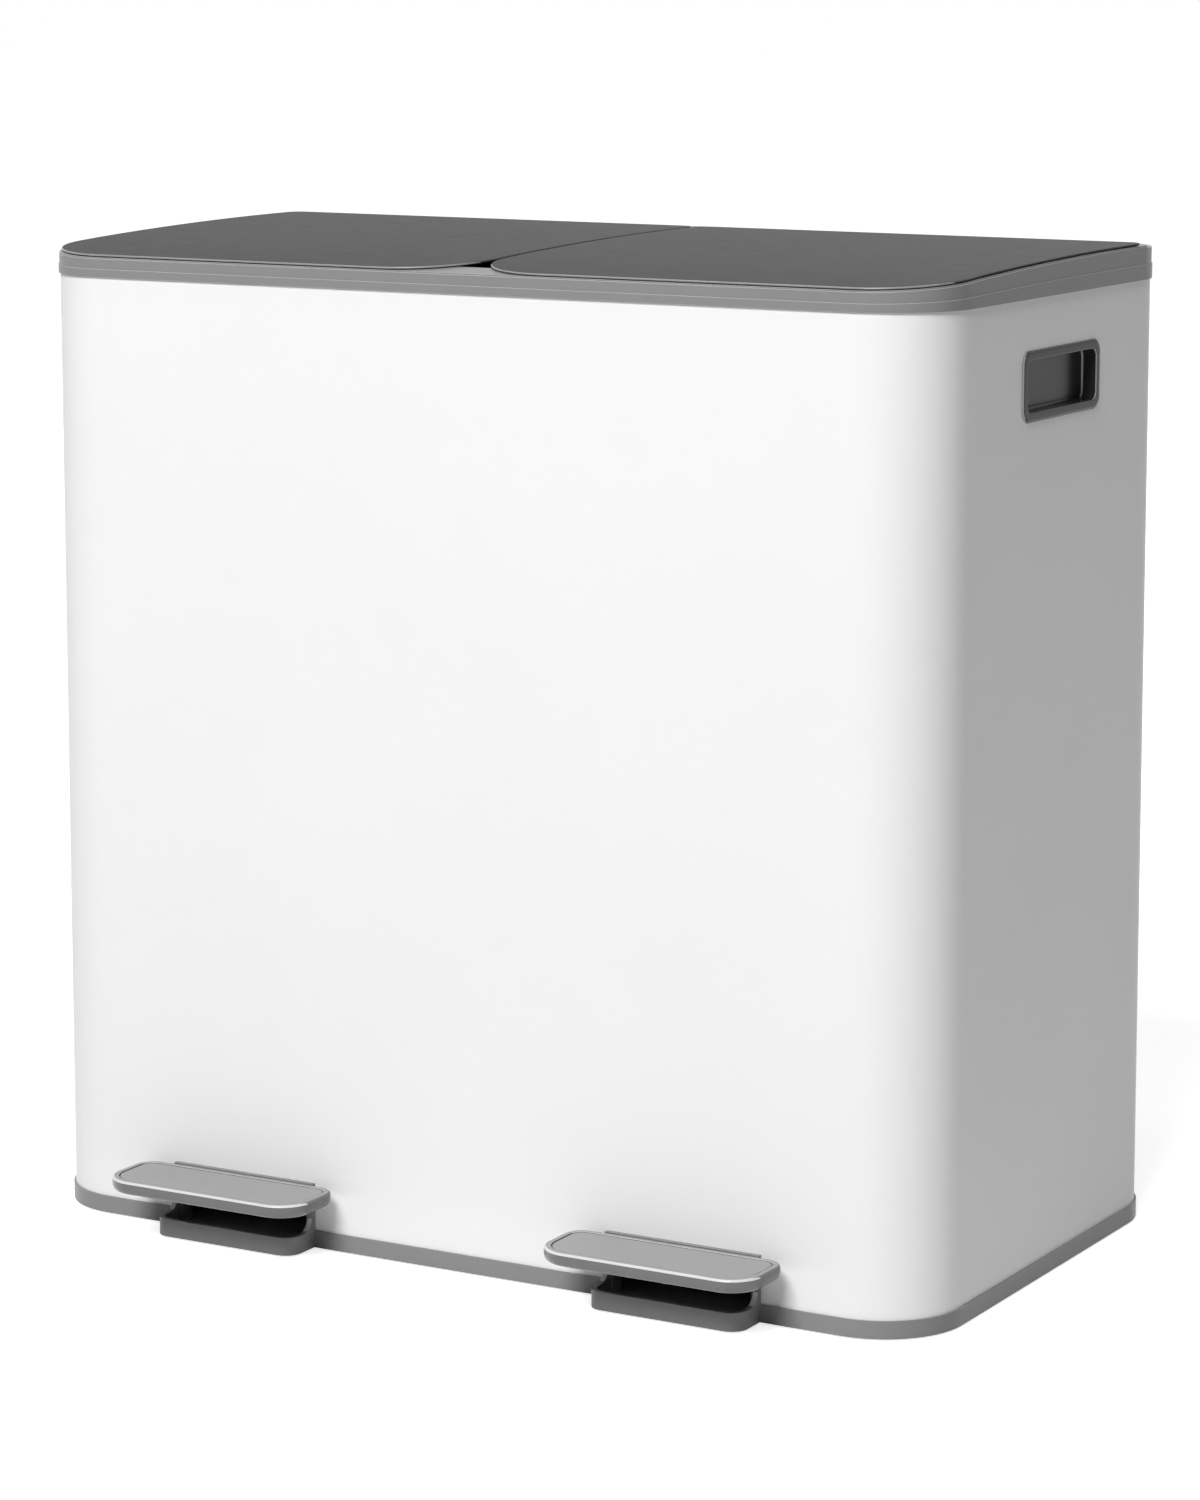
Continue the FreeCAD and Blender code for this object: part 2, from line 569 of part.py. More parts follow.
def slot_x(y, z, half_y, half_z):
    """A rounded slot through the rod, along X."""
    return side_plate(y, z, (2 * half_y, 2 * half_z, half_z - 0.01), DRIVE_X - ROD_THICK, DRIVE_X + ROD_THICK)


# Lids

def lid_outline(z0, z1):
    outer = FRONT_RADIUS + OVERHANG - LID_INSET
    return plate(LID_SEAM, HALF_WIDTH + OVERHANG - LID_INSET, -HALF_DEPTH - OVERHANG + LID_INSET, LID_REAR_Y,
                 (LID_INNER_RADIUS, outer, LID_REAR_RADIUS, LID_REAR_RADIUS), z0, z1)


def lid_cover():
    """The crowned sheet that shows, cut to the lid's outline."""
    return lid_outline(RIM_BOTTOM, SKY).common(under_crown(LID_TOP_LEVEL)).cut(under_crown(LID_UNDER_LEVEL))


def liner_plate(inset):
    gap = LINER_GAP + inset
    return plate(MOUTH_INNER_X + gap, MOUTH_OUTER_X - gap, MOUTH_FRONT_Y + gap, MOUTH_REAR_Y - 4 - inset,
                 MOUTH_RADIUS - gap, RIM_BOTTOM, SKY)


def liner_tray():
    """A shallow ribbed tray, closed by the cover above it."""
    bottom_level = LID_UNDER_LEVEL - LINER_DEPTH
    tray = liner_plate(0).common(under_crown(LID_UNDER_LEVEL)).cut(under_crown(bottom_level))
    hollow = liner_plate(LINER_WALL).cut(under_crown(bottom_level + LINER_FLOOR))
    ribs = [box(x - LINER_RIB / 2, x + LINER_RIB / 2, MOUTH_FRONT_Y + 10, MOUTH_REAR_Y - 6, RIM_BOTTOM, SKY)
            for x in (DRIVE_X - LINER_RIB_SPREAD, DRIVE_X, DRIVE_X + LINER_RIB_SPREAD)]
    return tray.cut(hollow.cut(ribs))


def lid_liner():
    """The tray under a lid's cover, with its hinge arms and the lug that the push rod lifts."""
    root_y = MOUTH_REAR_Y - ARM_ROOT
    arm_top, arm_low = HINGE_Z + ARM_TOP, HINGE_Z + ARM_LOW
    shoulder = [(root_y, arm_low), (root_y, arm_top), (HINGE_Y + ARM_SLOPE_Y, arm_top)]
    end_y, end_z = ARM_END
    arm = shoulder + [(HINGE_Y + end_y, HINGE_Z + end_z), (HINGE_Y, HINGE_Z - BARREL_R)]
    arms = []
    for x in HINGE_XS:
        x0, x1 = x - ARM_WIDTH / 2, x + ARM_WIDTH / 2
        arms += [side_block(arm, x0, x1), rod_x(HINGE_Y, HINGE_Z, BARREL_R, x0, x1)]

    flank_y, flank_z = LUG_FLANK
    lug = shoulder + [(LUG_PIN_Y + flank_y, LUG_PIN_Z + flank_z), (LUG_PIN_Y, LUG_PIN_Z - LUG_R),
                      (LUG_PIN_Y - flank_y, LUG_PIN_Z - flank_z), (MOUTH_REAR_Y + LUG_ROOT, arm_low)]
    near = ROD_THICK / 2 + LUG_GAP
    lugs = []
    for x0 in (DRIVE_X - near - LUG_THICK, DRIVE_X + near):
        x1 = x0 + LUG_THICK
        lugs += [side_block(lug, x0, x1), rod_x(LUG_PIN_Y, LUG_PIN_Z, LUG_R, x0, x1)]
    liner = joined([liner_tray()] + arms + lugs).common(under_crown(LID_UNDER_LEVEL))
    bore_r = HINGE_PIN_R + RUNNING_GAP
    bores = [rod_x(HINGE_Y, HINGE_Z, bore_r, x - ARM_WIDTH, x + ARM_WIDTH) for x in HINGE_XS]
    return liner.cut(bores + [drive_pin()])


def drive_pin():
    return headed_pin(LUG_PIN_Y, LUG_PIN_Z, LINK_PIN_R, ROD_THICK / 2 + LUG_GAP + LUG_THICK, LINK_PIN_HEAD)


# Pedals

def pedal_screw(x):
    """A round-headed screw up through the lever's web into the pedal."""
    web_under = PEDAL_BOTTOM - LEVER_SHEET
    head_r, head_height = PEDAL_SCREW_HEAD
    shank = Part.makeCylinder(PEDAL_SCREW_R, PEDAL_SCREW_LENGTH, V(x, PEDAL_SCREW_Y, web_under))
    head = Part.makeCylinder(head_r, head_height, V(x, PEDAL_SCREW_Y, web_under - head_height))
    return joined([shank, head])


def pedal_screws():
    return Part.makeCompound([pedal_screw(DRIVE_X + x) for x in PEDAL_SCREW_XS])


def pedal_plate(inset, z0, z1):
    half = PEDAL_WIDTH / 2 - inset
    front = PEDAL_FRONT_RADIUS - inset
    rear = PEDAL_REAR_RADIUS - inset
    return plate(DRIVE_X - half, DRIVE_X + half, PEDAL_FRONT_Y + inset, PEDAL_REAR_Y - inset,
                 (front, front, rear, rear), z0, z1)


def pedal_body():
    """A pedal with a crisp top edge, a fuller edge below and a shallow pocket in its top."""
    block = pedal_plate(0, PEDAL_BOTTOM, PEDAL_TOP)
    top_edges = [edge for edge in block.Edges if edge.BoundBox.ZMin > PEDAL_TOP - 0.1]
    rounded = block.makeFillet(PEDAL_TOP_ROUND, top_edges)
    under_edges = [edge for edge in rounded.Edges if edge.BoundBox.ZMax < PEDAL_BOTTOM + 0.1]
    rounded = rounded.makeFillet(PEDAL_UNDER_ROUND, under_edges)
    pocket = pedal_plate(PAD_INSET, PEDAL_TOP - PAD_RECESS - PAD_DEPTH, PEDAL_TOP + 1)
    return rounded.cut([pocket, pedal_screws()])


def pedal_pad():
    return pedal_plate(PAD_INSET, PEDAL_TOP - PAD_RECESS - PAD_DEPTH, PEDAL_TOP - PAD_RECESS)


# Buckets

def bucket_wire(shrink, z, radius):
    gap = LEDGE + BUCKET_GAP + shrink
    return outline(MOUTH_INNER_X + gap, MOUTH_OUTER_X - gap, MOUTH_FRONT_Y + gap, MOUTH_REAR_Y - gap,
                   (radius,) * 4, z)


def bucket():
    """A tapered lift-out bucket that hangs by its flange over the rim's ledge."""
    under_flange = LEDGE_TOP + BUCKET_REST
    top = under_flange + BUCKET_FLANGE
    slope = BUCKET_TAPER / (top - BUCKET_BOTTOM)
    floor_z = BUCKET_BOTTOM + BUCKET_FLOOR
    floor_shrink = BUCKET_TAPER - slope * BUCKET_FLOOR + BUCKET_WALL
    inner_radius = BUCKET_RADIUS - BUCKET_WALL
    outside = Part.makeLoft([bucket_wire(BUCKET_TAPER, BUCKET_BOTTOM, BUCKET_RADIUS),
                             bucket_wire(0, top, BUCKET_RADIUS)], True, True)
    inside = Part.makeLoft([bucket_wire(floor_shrink, floor_z, inner_radius),
                            bucket_wire(BUCKET_WALL - slope, top + 1, inner_radius)], True, True)
    return joined([outside, mouth(-BUCKET_GAP, under_flange, top)]).cut(inside)


# Every node: those made once, and those drawn on the right and mirrored to the left

SINGLE = {"outer_shell": shell_sleeve, "top_rim": top_rim, "base_tray": base_tray,
          "rubber_feet": rubber_feet, "guide_rivets": guide_rivets}
PAIRED = {"handle_cup": handle_cup, "hinge_pins": hinge_pins, "rod_guides": rod_guides,
          "lid_bumpers": lid_bumpers, "axle_bracket": axle_bracket, "bracket_screws": bracket_screws,
          "lever_axle": lever_axle, "lid_cover": lid_cover, "lid_liner": lid_liner, "drive_pin": drive_pin,
          "push_rod": push_rod, "pedal_lever": pedal_lever, "rod_pin": rod_pin,
          "pedal_screws": pedal_screws, "pedal_body": pedal_body, "pedal_pad": pedal_pad, "bucket": bucket}


def save(name, shape):
    shape = shape.copy()
    shape.translate(TO_ORIGIN)
    shape.exportStep(f"parts/{name}.step")
    print(f"{name:20s} solids {len(shape.Solids)}  valid {shape.isValid()}  {shape.Volume / 1000:.1f} cm3")


os.makedirs("parts", exist_ok=True)
for name, make in SINGLE.items():
    save(name, make())
for name, make in PAIRED.items():
    right = make()
    save(f"{name}_right", right)
    save(f"{name}_left", mirrored(right))
print(f"rod travel {ROD_TRAVEL:.3f} mm, lever angle {LEVER_ANGLE:.4f} degrees, rod at y {ROD_Y:.2f}")
print(f"shift {TO_ORIGIN.y:.3f} mm, lug pin at y {LUG_PIN_Y:.2f} z {LUG_PIN_Z:.2f}")
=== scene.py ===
"""A pedal bin with two compartments: its looks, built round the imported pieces.

Lengths are in metres. Sizes are written about the middle of the body, with the front towards -Y;
new_piece() moves them along Y into the row frame.
"""

import math

import bmesh
import bpy
from bpy.props import FloatProperty, FloatVectorProperty, IntProperty, PointerProperty
from mathutils import Matrix, Vector


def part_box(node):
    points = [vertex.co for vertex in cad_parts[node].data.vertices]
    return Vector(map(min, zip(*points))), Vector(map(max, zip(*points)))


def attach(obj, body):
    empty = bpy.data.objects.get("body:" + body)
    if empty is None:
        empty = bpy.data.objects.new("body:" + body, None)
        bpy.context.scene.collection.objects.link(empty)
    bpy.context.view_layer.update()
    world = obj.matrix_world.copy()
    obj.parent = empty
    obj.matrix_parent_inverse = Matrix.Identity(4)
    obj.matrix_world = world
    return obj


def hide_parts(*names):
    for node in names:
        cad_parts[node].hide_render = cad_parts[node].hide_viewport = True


bl_info = {
    "name": "Double pedal bin",
    "version": (1, 0, 0),
    "blender": (4, 5, 0),
    "location": "3D View > Sidebar > Pedal bin",
    "description": "Builds the visible pieces, finishes and stage of a pedal bin with two lids",
    "category": "Object",
}

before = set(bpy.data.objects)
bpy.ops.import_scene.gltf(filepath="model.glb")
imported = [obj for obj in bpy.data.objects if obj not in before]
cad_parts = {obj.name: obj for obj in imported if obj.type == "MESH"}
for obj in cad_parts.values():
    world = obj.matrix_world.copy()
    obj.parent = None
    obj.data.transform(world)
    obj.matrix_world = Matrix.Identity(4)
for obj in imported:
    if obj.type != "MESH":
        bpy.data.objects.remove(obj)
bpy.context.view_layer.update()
SHELL_LOW, SHELL_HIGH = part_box("outer_shell")
MIDDLE_Y = 0.02605  # where the body's middle is along Y in the row frame
SIDES = {"right": 1, "left": -1}

# Body, rim and lids
BODY_WIDTH = 0.590
BODY_DEPTH = 0.3324
FRONT_RADIUS = 0.0486
REAR_RADIUS = 0.050
SHEET = 0.0006
OVERHANG = 0.0012
CROWN_FRONT = ((-0.168, 0.0), (-0.138, 0.0023), (-0.105, 0.0043))
CROWN_REAR = ((-0.105, 0.0043), (-0.003, 0.0076), (0.170, 0.0079))
LID_INSET = 0.002
LID_SEAM = 0.0016
LID_REAR_Y = 0.119
LID_INNER_RADIUS = 0.050
LID_REAR_RADIUS = 0.009
LID_TOP = 0.5776
LID_THICK = 0.0012
LID_UNDER_EDGE = 0.0003
LINER_EDGE = 0.0004

# Drive and pedals
DRIVE_X = 0.1474
NECK_WIDTH = 0.092
NECK_TOP = 0.0381
PEDAL_WIDTH = 0.136
PEDAL_FRONT_Y = -0.2195
PEDAL_REAR_Y = -0.1705
PEDAL_BOTTOM = 0.0314
PEDAL_TOP = 0.0394
PEDAL_FRONT_RADIUS = 0.020
PEDAL_REAR_RADIUS = 0.012
PEDAL_BAND = 0.0014
PAD_INSET = 0.0042
PAD_DEPTH = 0.0014
PAD_RECESS = 0.00025
PAD_GROOVE = 0.0006
PAD_EDGE = 0.0003
PAD_EDGE_MIDDLE = 0.0001
PAD_GAP = 0.00002
POCKET_EDGE = 0.0002

# Bezels behind the pedals, whose tops show a little lower than in model.glb
BEZEL_TOP = 0.0411
BEZEL_DROP = 0.0016
BEZEL_REACH = 0.0005

# Handle cups, which show about 5 mm shallower than in model.glb
CUP_Y = 0.0015
CUP_Z = 0.516
CUP_PROUD = 0.0011
CUP_FACE = BODY_WIDTH / 2 + CUP_PROUD
CUP_BEZEL = (0.105, 0.040, 0.008)
CUP_OUTER = (0.097, 0.033, 0.0065)
CUP_INNER = (0.093, 0.029, 0.005)
CUP_DEPTH = 0.015
CUP_FLOOR = 0.007

# Buckets
MOUTH_X = (0.019, 0.279)
MOUTH_Y = (-0.1435, 0.100)
MOUTH_RADIUS = 0.014
LEDGE = 0.005
BUCKET_GAP = 0.001
FLANGE_BOTTOM = 0.557
FLANGE_THICK = 0.003
BUCKET_WALL = 0.002
BUCKET_BOTTOM = 0.052
BUCKET_FLOOR = 0.0025
BUCKET_TAPER = 0.011
BUCKET_RADIUS = 0.012

# Rivets, screws, pins and rubber
RIVET_XS = (-0.008, 0.008)
RIVET_HEIGHTS = (0.149, 0.409)
BRACKET_Y = -0.075
BRACKET_SCREW_XS = (-0.0225, 0.0225)
BRACKET_SCREW_YS = (-0.007, 0.007)
BRACKET_SCREW_Z = 0.006
PIN_EDGE = 0.0003
RUBBER_EDGE = 0.0005
FOOT_XS = (-0.25, 0.0, 0.25)
FOOT_YS = (-0.128, 0.128)
FOOT_TALL = 0.0015
BUTTON_XS = (0.075, 0.230)
BUTTON_FORWARD = 0.012
BUTTON_LOW = 0.5749
BUTTON_HIGH = 0.57615
BUTTON_GAP = 0.0002

# Which faces are painted lighter, by their normals: painted highlights on upward edges, and the pedals'
# lit tops
PAINTED_LIGHT_RISE = (0.25, 0.93)
PEDAL_HIGHLIGHT_Y = -0.15
LID_HIGHLIGHT_RISE = 0.9
LID_HIGHLIGHT_Y = -0.3
HANDLE_HIGHLIGHT_X = 0.25
HANDLE_HIGHLIGHT_Y = (-0.96, -0.28)

# Meshes
SAME_PLACE = 2e-5
SAME_POINT = 1e-6
FLAT_TURN = math.radians(0.3)
CUTTER_PAST = 0.01

# Photograph's view: a lens in pixels of the picture's long side, and where the camera stands
PICTURE_HIGH = 1500
FOCAL_PIXELS = 4597.5
CAMERA_PLACE = (1.3412, -2.3529, 0.7705)
CAMERA_YAW = math.radians(29.7066)
CAMERA_PITCH = math.radians(8.4032)
CAMERA_SHIFT = -0.1

# Lamps: place, size and the setting of each one's power. All point at LAMP_AIM.
LAMP_AIM = (0.0, 0.0, 0.30)
LAMPS = (("Key", (0.38, -4.1, 4.7), (2.6, 2.0), "key_power"),
         ("Back", (0.5, 3.4, 3.0), (2.0, 1.4), "back_power"),
         ("Top", (-0.9, -0.4, 2.7), (0.35, 0.35), "top_power"))

# Floor, which glows white for the camera towards its edges
FLOOR_HALF = 20.0
FLOOR_COLOUR = (0.78, 0.78, 0.78, 1.0)
FLOOR_GLOW = {"From Min": 0.7, "From Max": 2.6, "To Min": 0.76, "To Max": 1.0}


# Settings that a user would change

class BinSizes(bpy.types.PropertyGroup):
    lid_edge: FloatProperty(
        name="Lid edge", description="Radius of the lids' upper edge",
        default=0.0007, subtype="DISTANCE")
    pedal_top_edge: FloatProperty(
        name="Pedal top edge", description="Radius of the pedals' upper edge", default=0.0017,
        subtype="DISTANCE")
    pedal_under_edge: FloatProperty(
        name="Pedal lower edge", description="How far the pedals' sides curve in below", default=0.0026,
        subtype="DISTANCE")
    moulded_edge: FloatProperty(
        name="Moulded edge", description="Softening of the rim's and base's edges", default=0.0005,
        subtype="DISTANCE")
    steel_edge: FloatProperty(
        name="Steel edge", description="Softening of the pressed parts' edges", default=0.0003,
        subtype="DISTANCE")
    arc_steps: IntProperty(
        name="Arc steps", description="Segments in a quarter turn of a corner",
        default=20, min=4, max=64)


class BinFinishes(bpy.types.PropertyGroup):
    body: FloatVectorProperty(
        name="Body", description="Colour of the body's coat",
        default=(0.80, 0.80, 0.80), subtype="COLOR")
    lid: FloatVectorProperty(
        name="Lids", description="Colour of the lids' coat",
        default=(0.042, 0.042, 0.042), subtype="COLOR")
    # Colour painted on the lids' front edge as a highlight
    lid_rim: FloatVectorProperty(
        name="Lid edge", description="Colour of the lids' front edge, painted lighter as a highlight",
        default=(0.24, 0.24, 0.24), subtype="COLOR")
    rim: FloatVectorProperty(
        name="Rim and base", description="Colour of the rim and the base", default=(0.23, 0.23, 0.23),
        subtype="COLOR")
    # The pedals' sides are coloured darker than their tops: painted shade
    pedal: FloatVectorProperty(
        name="Pedals", description="Colour of the pedals' sides, darker than their tops as painted shade",
        default=(0.13, 0.13, 0.13), subtype="COLOR")
    pad: FloatVectorProperty(
        name="Pedal tops", description="Colour of the pedals' tops and of the panels let into them",
        default=(0.26, 0.26, 0.26), subtype="COLOR")
    # Colour painted on upward edges as a highlight
    painted_edge_highlight: FloatVectorProperty(
        name="Painted edge highlights", description="Colour painted on the upward edges of the rim, base and pedals as a highlight",
        default=(0.62, 0.62, 0.62), subtype="COLOR")
    handle: FloatVectorProperty(
        name="Handles", description="Colour of the handle cups", default=(0.026, 0.026, 0.026),
        subtype="COLOR")
    # Colour painted on the handle cups' edges as highlights
    handle_highlight: FloatVectorProperty(
        name="Handle highlights", description="Colour of the highlights painted on the handle cups' edges",
        default=(0.34, 0.34, 0.34), subtype="COLOR")
    bucket: FloatVectorProperty(
        name="Buckets", description="Colour of the buckets",
        default=(0.035, 0.035, 0.036), subtype="COLOR")


class BinStage(bpy.types.PropertyGroup):
    key_power: FloatProperty(
        name="Key", description="Power of the large lamp high in front", default=388.0, unit="POWER")
    back_power: FloatProperty(
        name="Back", description="Power of the lamp behind, which lights the rear",
        default=34.0, unit="POWER")
    top_power: FloatProperty(
        name="Top", description="Power of the lamp overhead", default=6.0, unit="POWER")
    room_light: FloatProperty(
        name="Room", description="Strength of the light from all round", default=0.03)


def sizes():
    return bpy.context.scene.bin_sizes


def finishes():
    return bpy.context.scene.bin_finishes


def stage_settings():
    return bpy.context.scene.bin_stage


# Shapes

def arc_height(y, arc):
    """Height at y of the circle through three points of (y, height)."""
    (ya, za), (yb, zb), (yc, zc) = arc
    turn = 2 * (ya * (zb - zc) + yb * (zc - za) + yc * (za - zb))
    a2, b2, c2 = ya * ya + za * za, yb * yb + zb * zb, yc * yc + zc * zc
    centre_y = (a2 * (zb - zc) + b2 * (zc - za) + c2 * (za - zb)) / turn
    centre_z = (a2 * (yc - yb) + b2 * (ya - yc) + c2 * (yb - ya)) / turn
    radius = math.hypot(ya - centre_y, za - centre_z)
    return centre_z + math.sqrt(max(radius ** 2 - (y - centre_y) ** 2, 0.0))


def crown(y):
    """How far the top rises at y above its front edge."""
    y = min(max(y, CROWN_FRONT[0][0]), CROWN_REAR[2][0])
    return arc_height(y, CROWN_FRONT if y < CROWN_FRONT[2][0] else CROWN_REAR)


def quarter(steps):
    return [math.pi / 2 * i / steps for i in range(steps + 1)]


def edge_places(y0, y1, radii, spacing):
    """The y of each row of points of a rounded outline, closer together in its corners."""
    steps = sizes().arc_steps
    front, rear = set(radii[:2]), set(radii[2:])
    places = [y0 + r * (1 - math.cos(a)) for r in front for a in quarter(steps)]
    places += [y1 - r * (1 - math.cos(a)) for r in rear for a in quarter(steps)]
    straight0, straight1 = y0 + max(front), y1 - max(rear)
    count = max(1, round((straight1 - straight0) / spacing))
    places += [straight0 + (straight1 - straight0) * i / count for i in range(1, count)]
    kept = []
    for y in sorted(places):
        if not kept or y - kept[-1] > SAME_PLACE:
            kept.append(y)
    return kept


def outline_side(side_x, outward, y0, y1, front, rear, places):
    """Points (x, y, normal x, normal y) down one side of a rounded outline, from front to rear."""
    points = []
    for y in places:
        if y < y0 + front:
            away, radius, turn = y0 + front - y, front, -1
        elif y > y1 - rear:
            away, radius, turn = y - y1 + rear, rear, 1
        else:
            away, radius, turn = 0.0, 1.0, 1
        across = math.sqrt(max(radius ** 2 - away ** 2, 0.0))
        points.append((side_x - outward * (radius - across), y,
                       outward * across / radius, turn * away / radius))
    return points


def outline(x0, x1, y0, y1, radii, spacing=0.02):
    """An outline seen from above, right side front to rear and left side back again."""
    places = edge_places(y0, y1, radii, spacing)
    left = outline_side(x0, -1, y0, y1, radii[0], radii[3], places)
    right = outline_side(x1, 1, y0, y1, radii[1], radii[2], places)
    return right + left[::-1]


def swept(bm, points, profile, share=0.0):
    """A solid whose side follows profile, a list of (offset, height), round an outline. Heights rise
    with a share of the crown. Its two ends are ruled from side to side."""
    rings = []
    for offset, height in profile:
        ring = []
        for x, y, nx, ny in points:
            place_y = y + ny * offset
            ring.append(bm.verts.new((x + nx * offset, place_y, height + share * crown(place_y))))
        rings.append(ring)
    join_rings(bm, rings)
    half = len(points) // 2
    for ring, upwards in ((rings[0], False), (rings[-1], True)):
        for i in range(half - 1):
            corners = [ring[i], ring[i + 1], ring[-2 - i], ring[-1 - i]]
            bm.faces.new(corners if upwards else corners[::-1])


def join_rings(bm, rings):
    count = len(rings[0])
    for lower, upper in zip(rings, rings[1:]):
        for i in range(count):
            following = (i + 1) % count
            bm.faces.new((lower[i], lower[following], upper[following], upper[i]))


def rounded_ring(size, corner_steps):
    """Points (u, v) of a rounded rectangle about its middle, anticlockwise."""
    width, height, radius = size
    points = []
    for number, (su, sv) in enumerate(((1, -1), (1, 1), (-1, 1), (-1, -1))):
        cu, cv = su * (width / 2 - radius), sv * (height / 2 - radius)
        for i in range(corner_steps + 1):
            angle = math.pi / 2 * (number - 1 + i / corner_steps)
            points.append((cu + radius * math.cos(angle), cv + radius * math.sin(angle)))
    return points


def loft(bm, rings):
    """A closed solid through rings of points, with flat ends."""
    made = [[bm.verts.new(point) for point in ring] for ring in rings]
    join_rings(bm, made)
    bm.faces.new(made[0][::-1])
    bm.faces.new(made[-1])


def new_piece(name, bm, material):
    """Turns a mesh drawn about the body's middle into an object in the row frame."""
    bmesh.ops.transform(bm, matrix=Matrix.Translation((0, MIDDLE_Y, 0)), verts=bm.verts)
    return bare_piece(name, bm, material)


def bare_piece(name, bm, material):
    bmesh.ops.recalc_face_normals(bm, faces=bm.faces)
    mesh = bpy.data.meshes.new(name)
    bm.to_mesh(mesh)
    bm.free()
    mesh.materials.append(material)
    piece = bpy.data.objects.new(name, mesh)
    bpy.context.scene.collection.objects.link(piece)
    return piece


def settle(piece):
    """Turns a piece's modifiers into plain mesh."""
    bpy.context.view_layer.update()
    seen = piece.evaluated_get(bpy.context.evaluated_depsgraph_get())
    mesh = bpy.data.meshes.new_from_object(seen)
    piece.modifiers.clear()
    old = piece.data
    piece.data = mesh
    bpy.data.meshes.remove(old)
    return piece


def smooth(piece, angle=32.0):
    """Smooth shading that stays crisp at real edges, with flat faces kept flat."""
    for polygon in piece.data.polygons:
        polygon.use_smooth = True
    piece.data.set_sharp_from_angle(angle=math.radians(angle))
    weighted = piece.modifiers.new("Flat faces", "WEIGHTED_NORMAL")
    weighted.keep_sharp = True
    weighted.weight = 70
    return settle(piece)


def softened(piece, width, segments=3, angle=34.0, highlight_finish=None):
    """Rounds a piece's real edges by width. Slanting faces that look upwards get the given finish, a
    lighter colour painted on as a highlight.
    """
    bevel = piece.modifiers.new("Edges", "BEVEL")
    bevel.limit_method = "ANGLE"
    bevel.angle_limit = math.radians(angle)
    bevel.width = width
    bevel.segments = segments
    bevel.use_clamp_overlap = True
    settle(piece)
    if highlight_finish:
        paint_edge_highlights(piece, highlight_finish)
    return smooth(piece)


def paint_edge_highlights(piece, finish, most_y=1.0):
    """Paints a highlight: gives a lighter finish to the slanting faces that look upwards, with a normal
    whose y is under most_y.
    """
    piece.data.materials.append(finish)
    for polygon in piece.data.polygons:
        if PAINTED_LIGHT_RISE[0] < polygon.normal.z < PAINTED_LIGHT_RISE[1] and polygon.normal.y < most_y:
            polygon.material_index = 1


def mirrored(piece, name):
    """A copy of a piece of the right half for the left half."""
    bm = bmesh.new()
    bm.from_mesh(piece.data)
    bmesh.ops.scale(bm, vec=(-1, 1, 1), verts=bm.verts)
    bmesh.ops.reverse_faces(bm, faces=bm.faces)
    mesh = bpy.data.meshes.new(name)
    bm.to_mesh(mesh)
    bm.free()
    for material in piece.data.materials:
        mesh.materials.append(material)
    twin = bpy.data.objects.new(name, mesh)
    bpy.context.scene.collection.objects.link(twin)
    return smooth(twin)


def place(piece, body, slot, *nodes):
    """Lets a finished piece move with its body and stand for its nodes."""
    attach(piece, body)
    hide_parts(*nodes)


def place_pair(piece, kind, body, slot):
    """Places the right-hand piece of a node kind, and its twin on the left."""
    twin = mirrored(piece, piece.name.replace("right", "left"))
    for one, side in ((piece, "right"), (twin, "left")):
        place(one, body.replace("SIDE", side), slot, f"{kind}_{side}")


def from_node(name, node, material, width, segments=2, angle=34.0, highlight_finish=None, reshape=None):
    """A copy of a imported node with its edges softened, after reshape has moved its points."""
    bm = bmesh.new()
    bm.from_mesh(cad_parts[node].data)
    bmesh.ops.remove_doubles(bm, verts=bm.verts, dist=SAME_POINT)
    bmesh.ops.dissolve_limit(bm, angle_limit=FLAT_TURN, verts=bm.verts, edges=bm.edges)
    if reshape:
        reshape(bm)
    mesh = bpy.data.meshes.new(name)
    bm.to_mesh(mesh)
    bm.free()
    mesh.materials.append(material)
    piece = bpy.data.objects.new(name, mesh)
    bpy.context.scene.collection.objects.link(piece)
    return softened(piece, width, segments, angle, highlight_finish)


# Geometry Nodes trees

SOCKETS = {float: "NodeSocketFloat", int: "NodeSocketInt", tuple: "NodeSocketVector"}


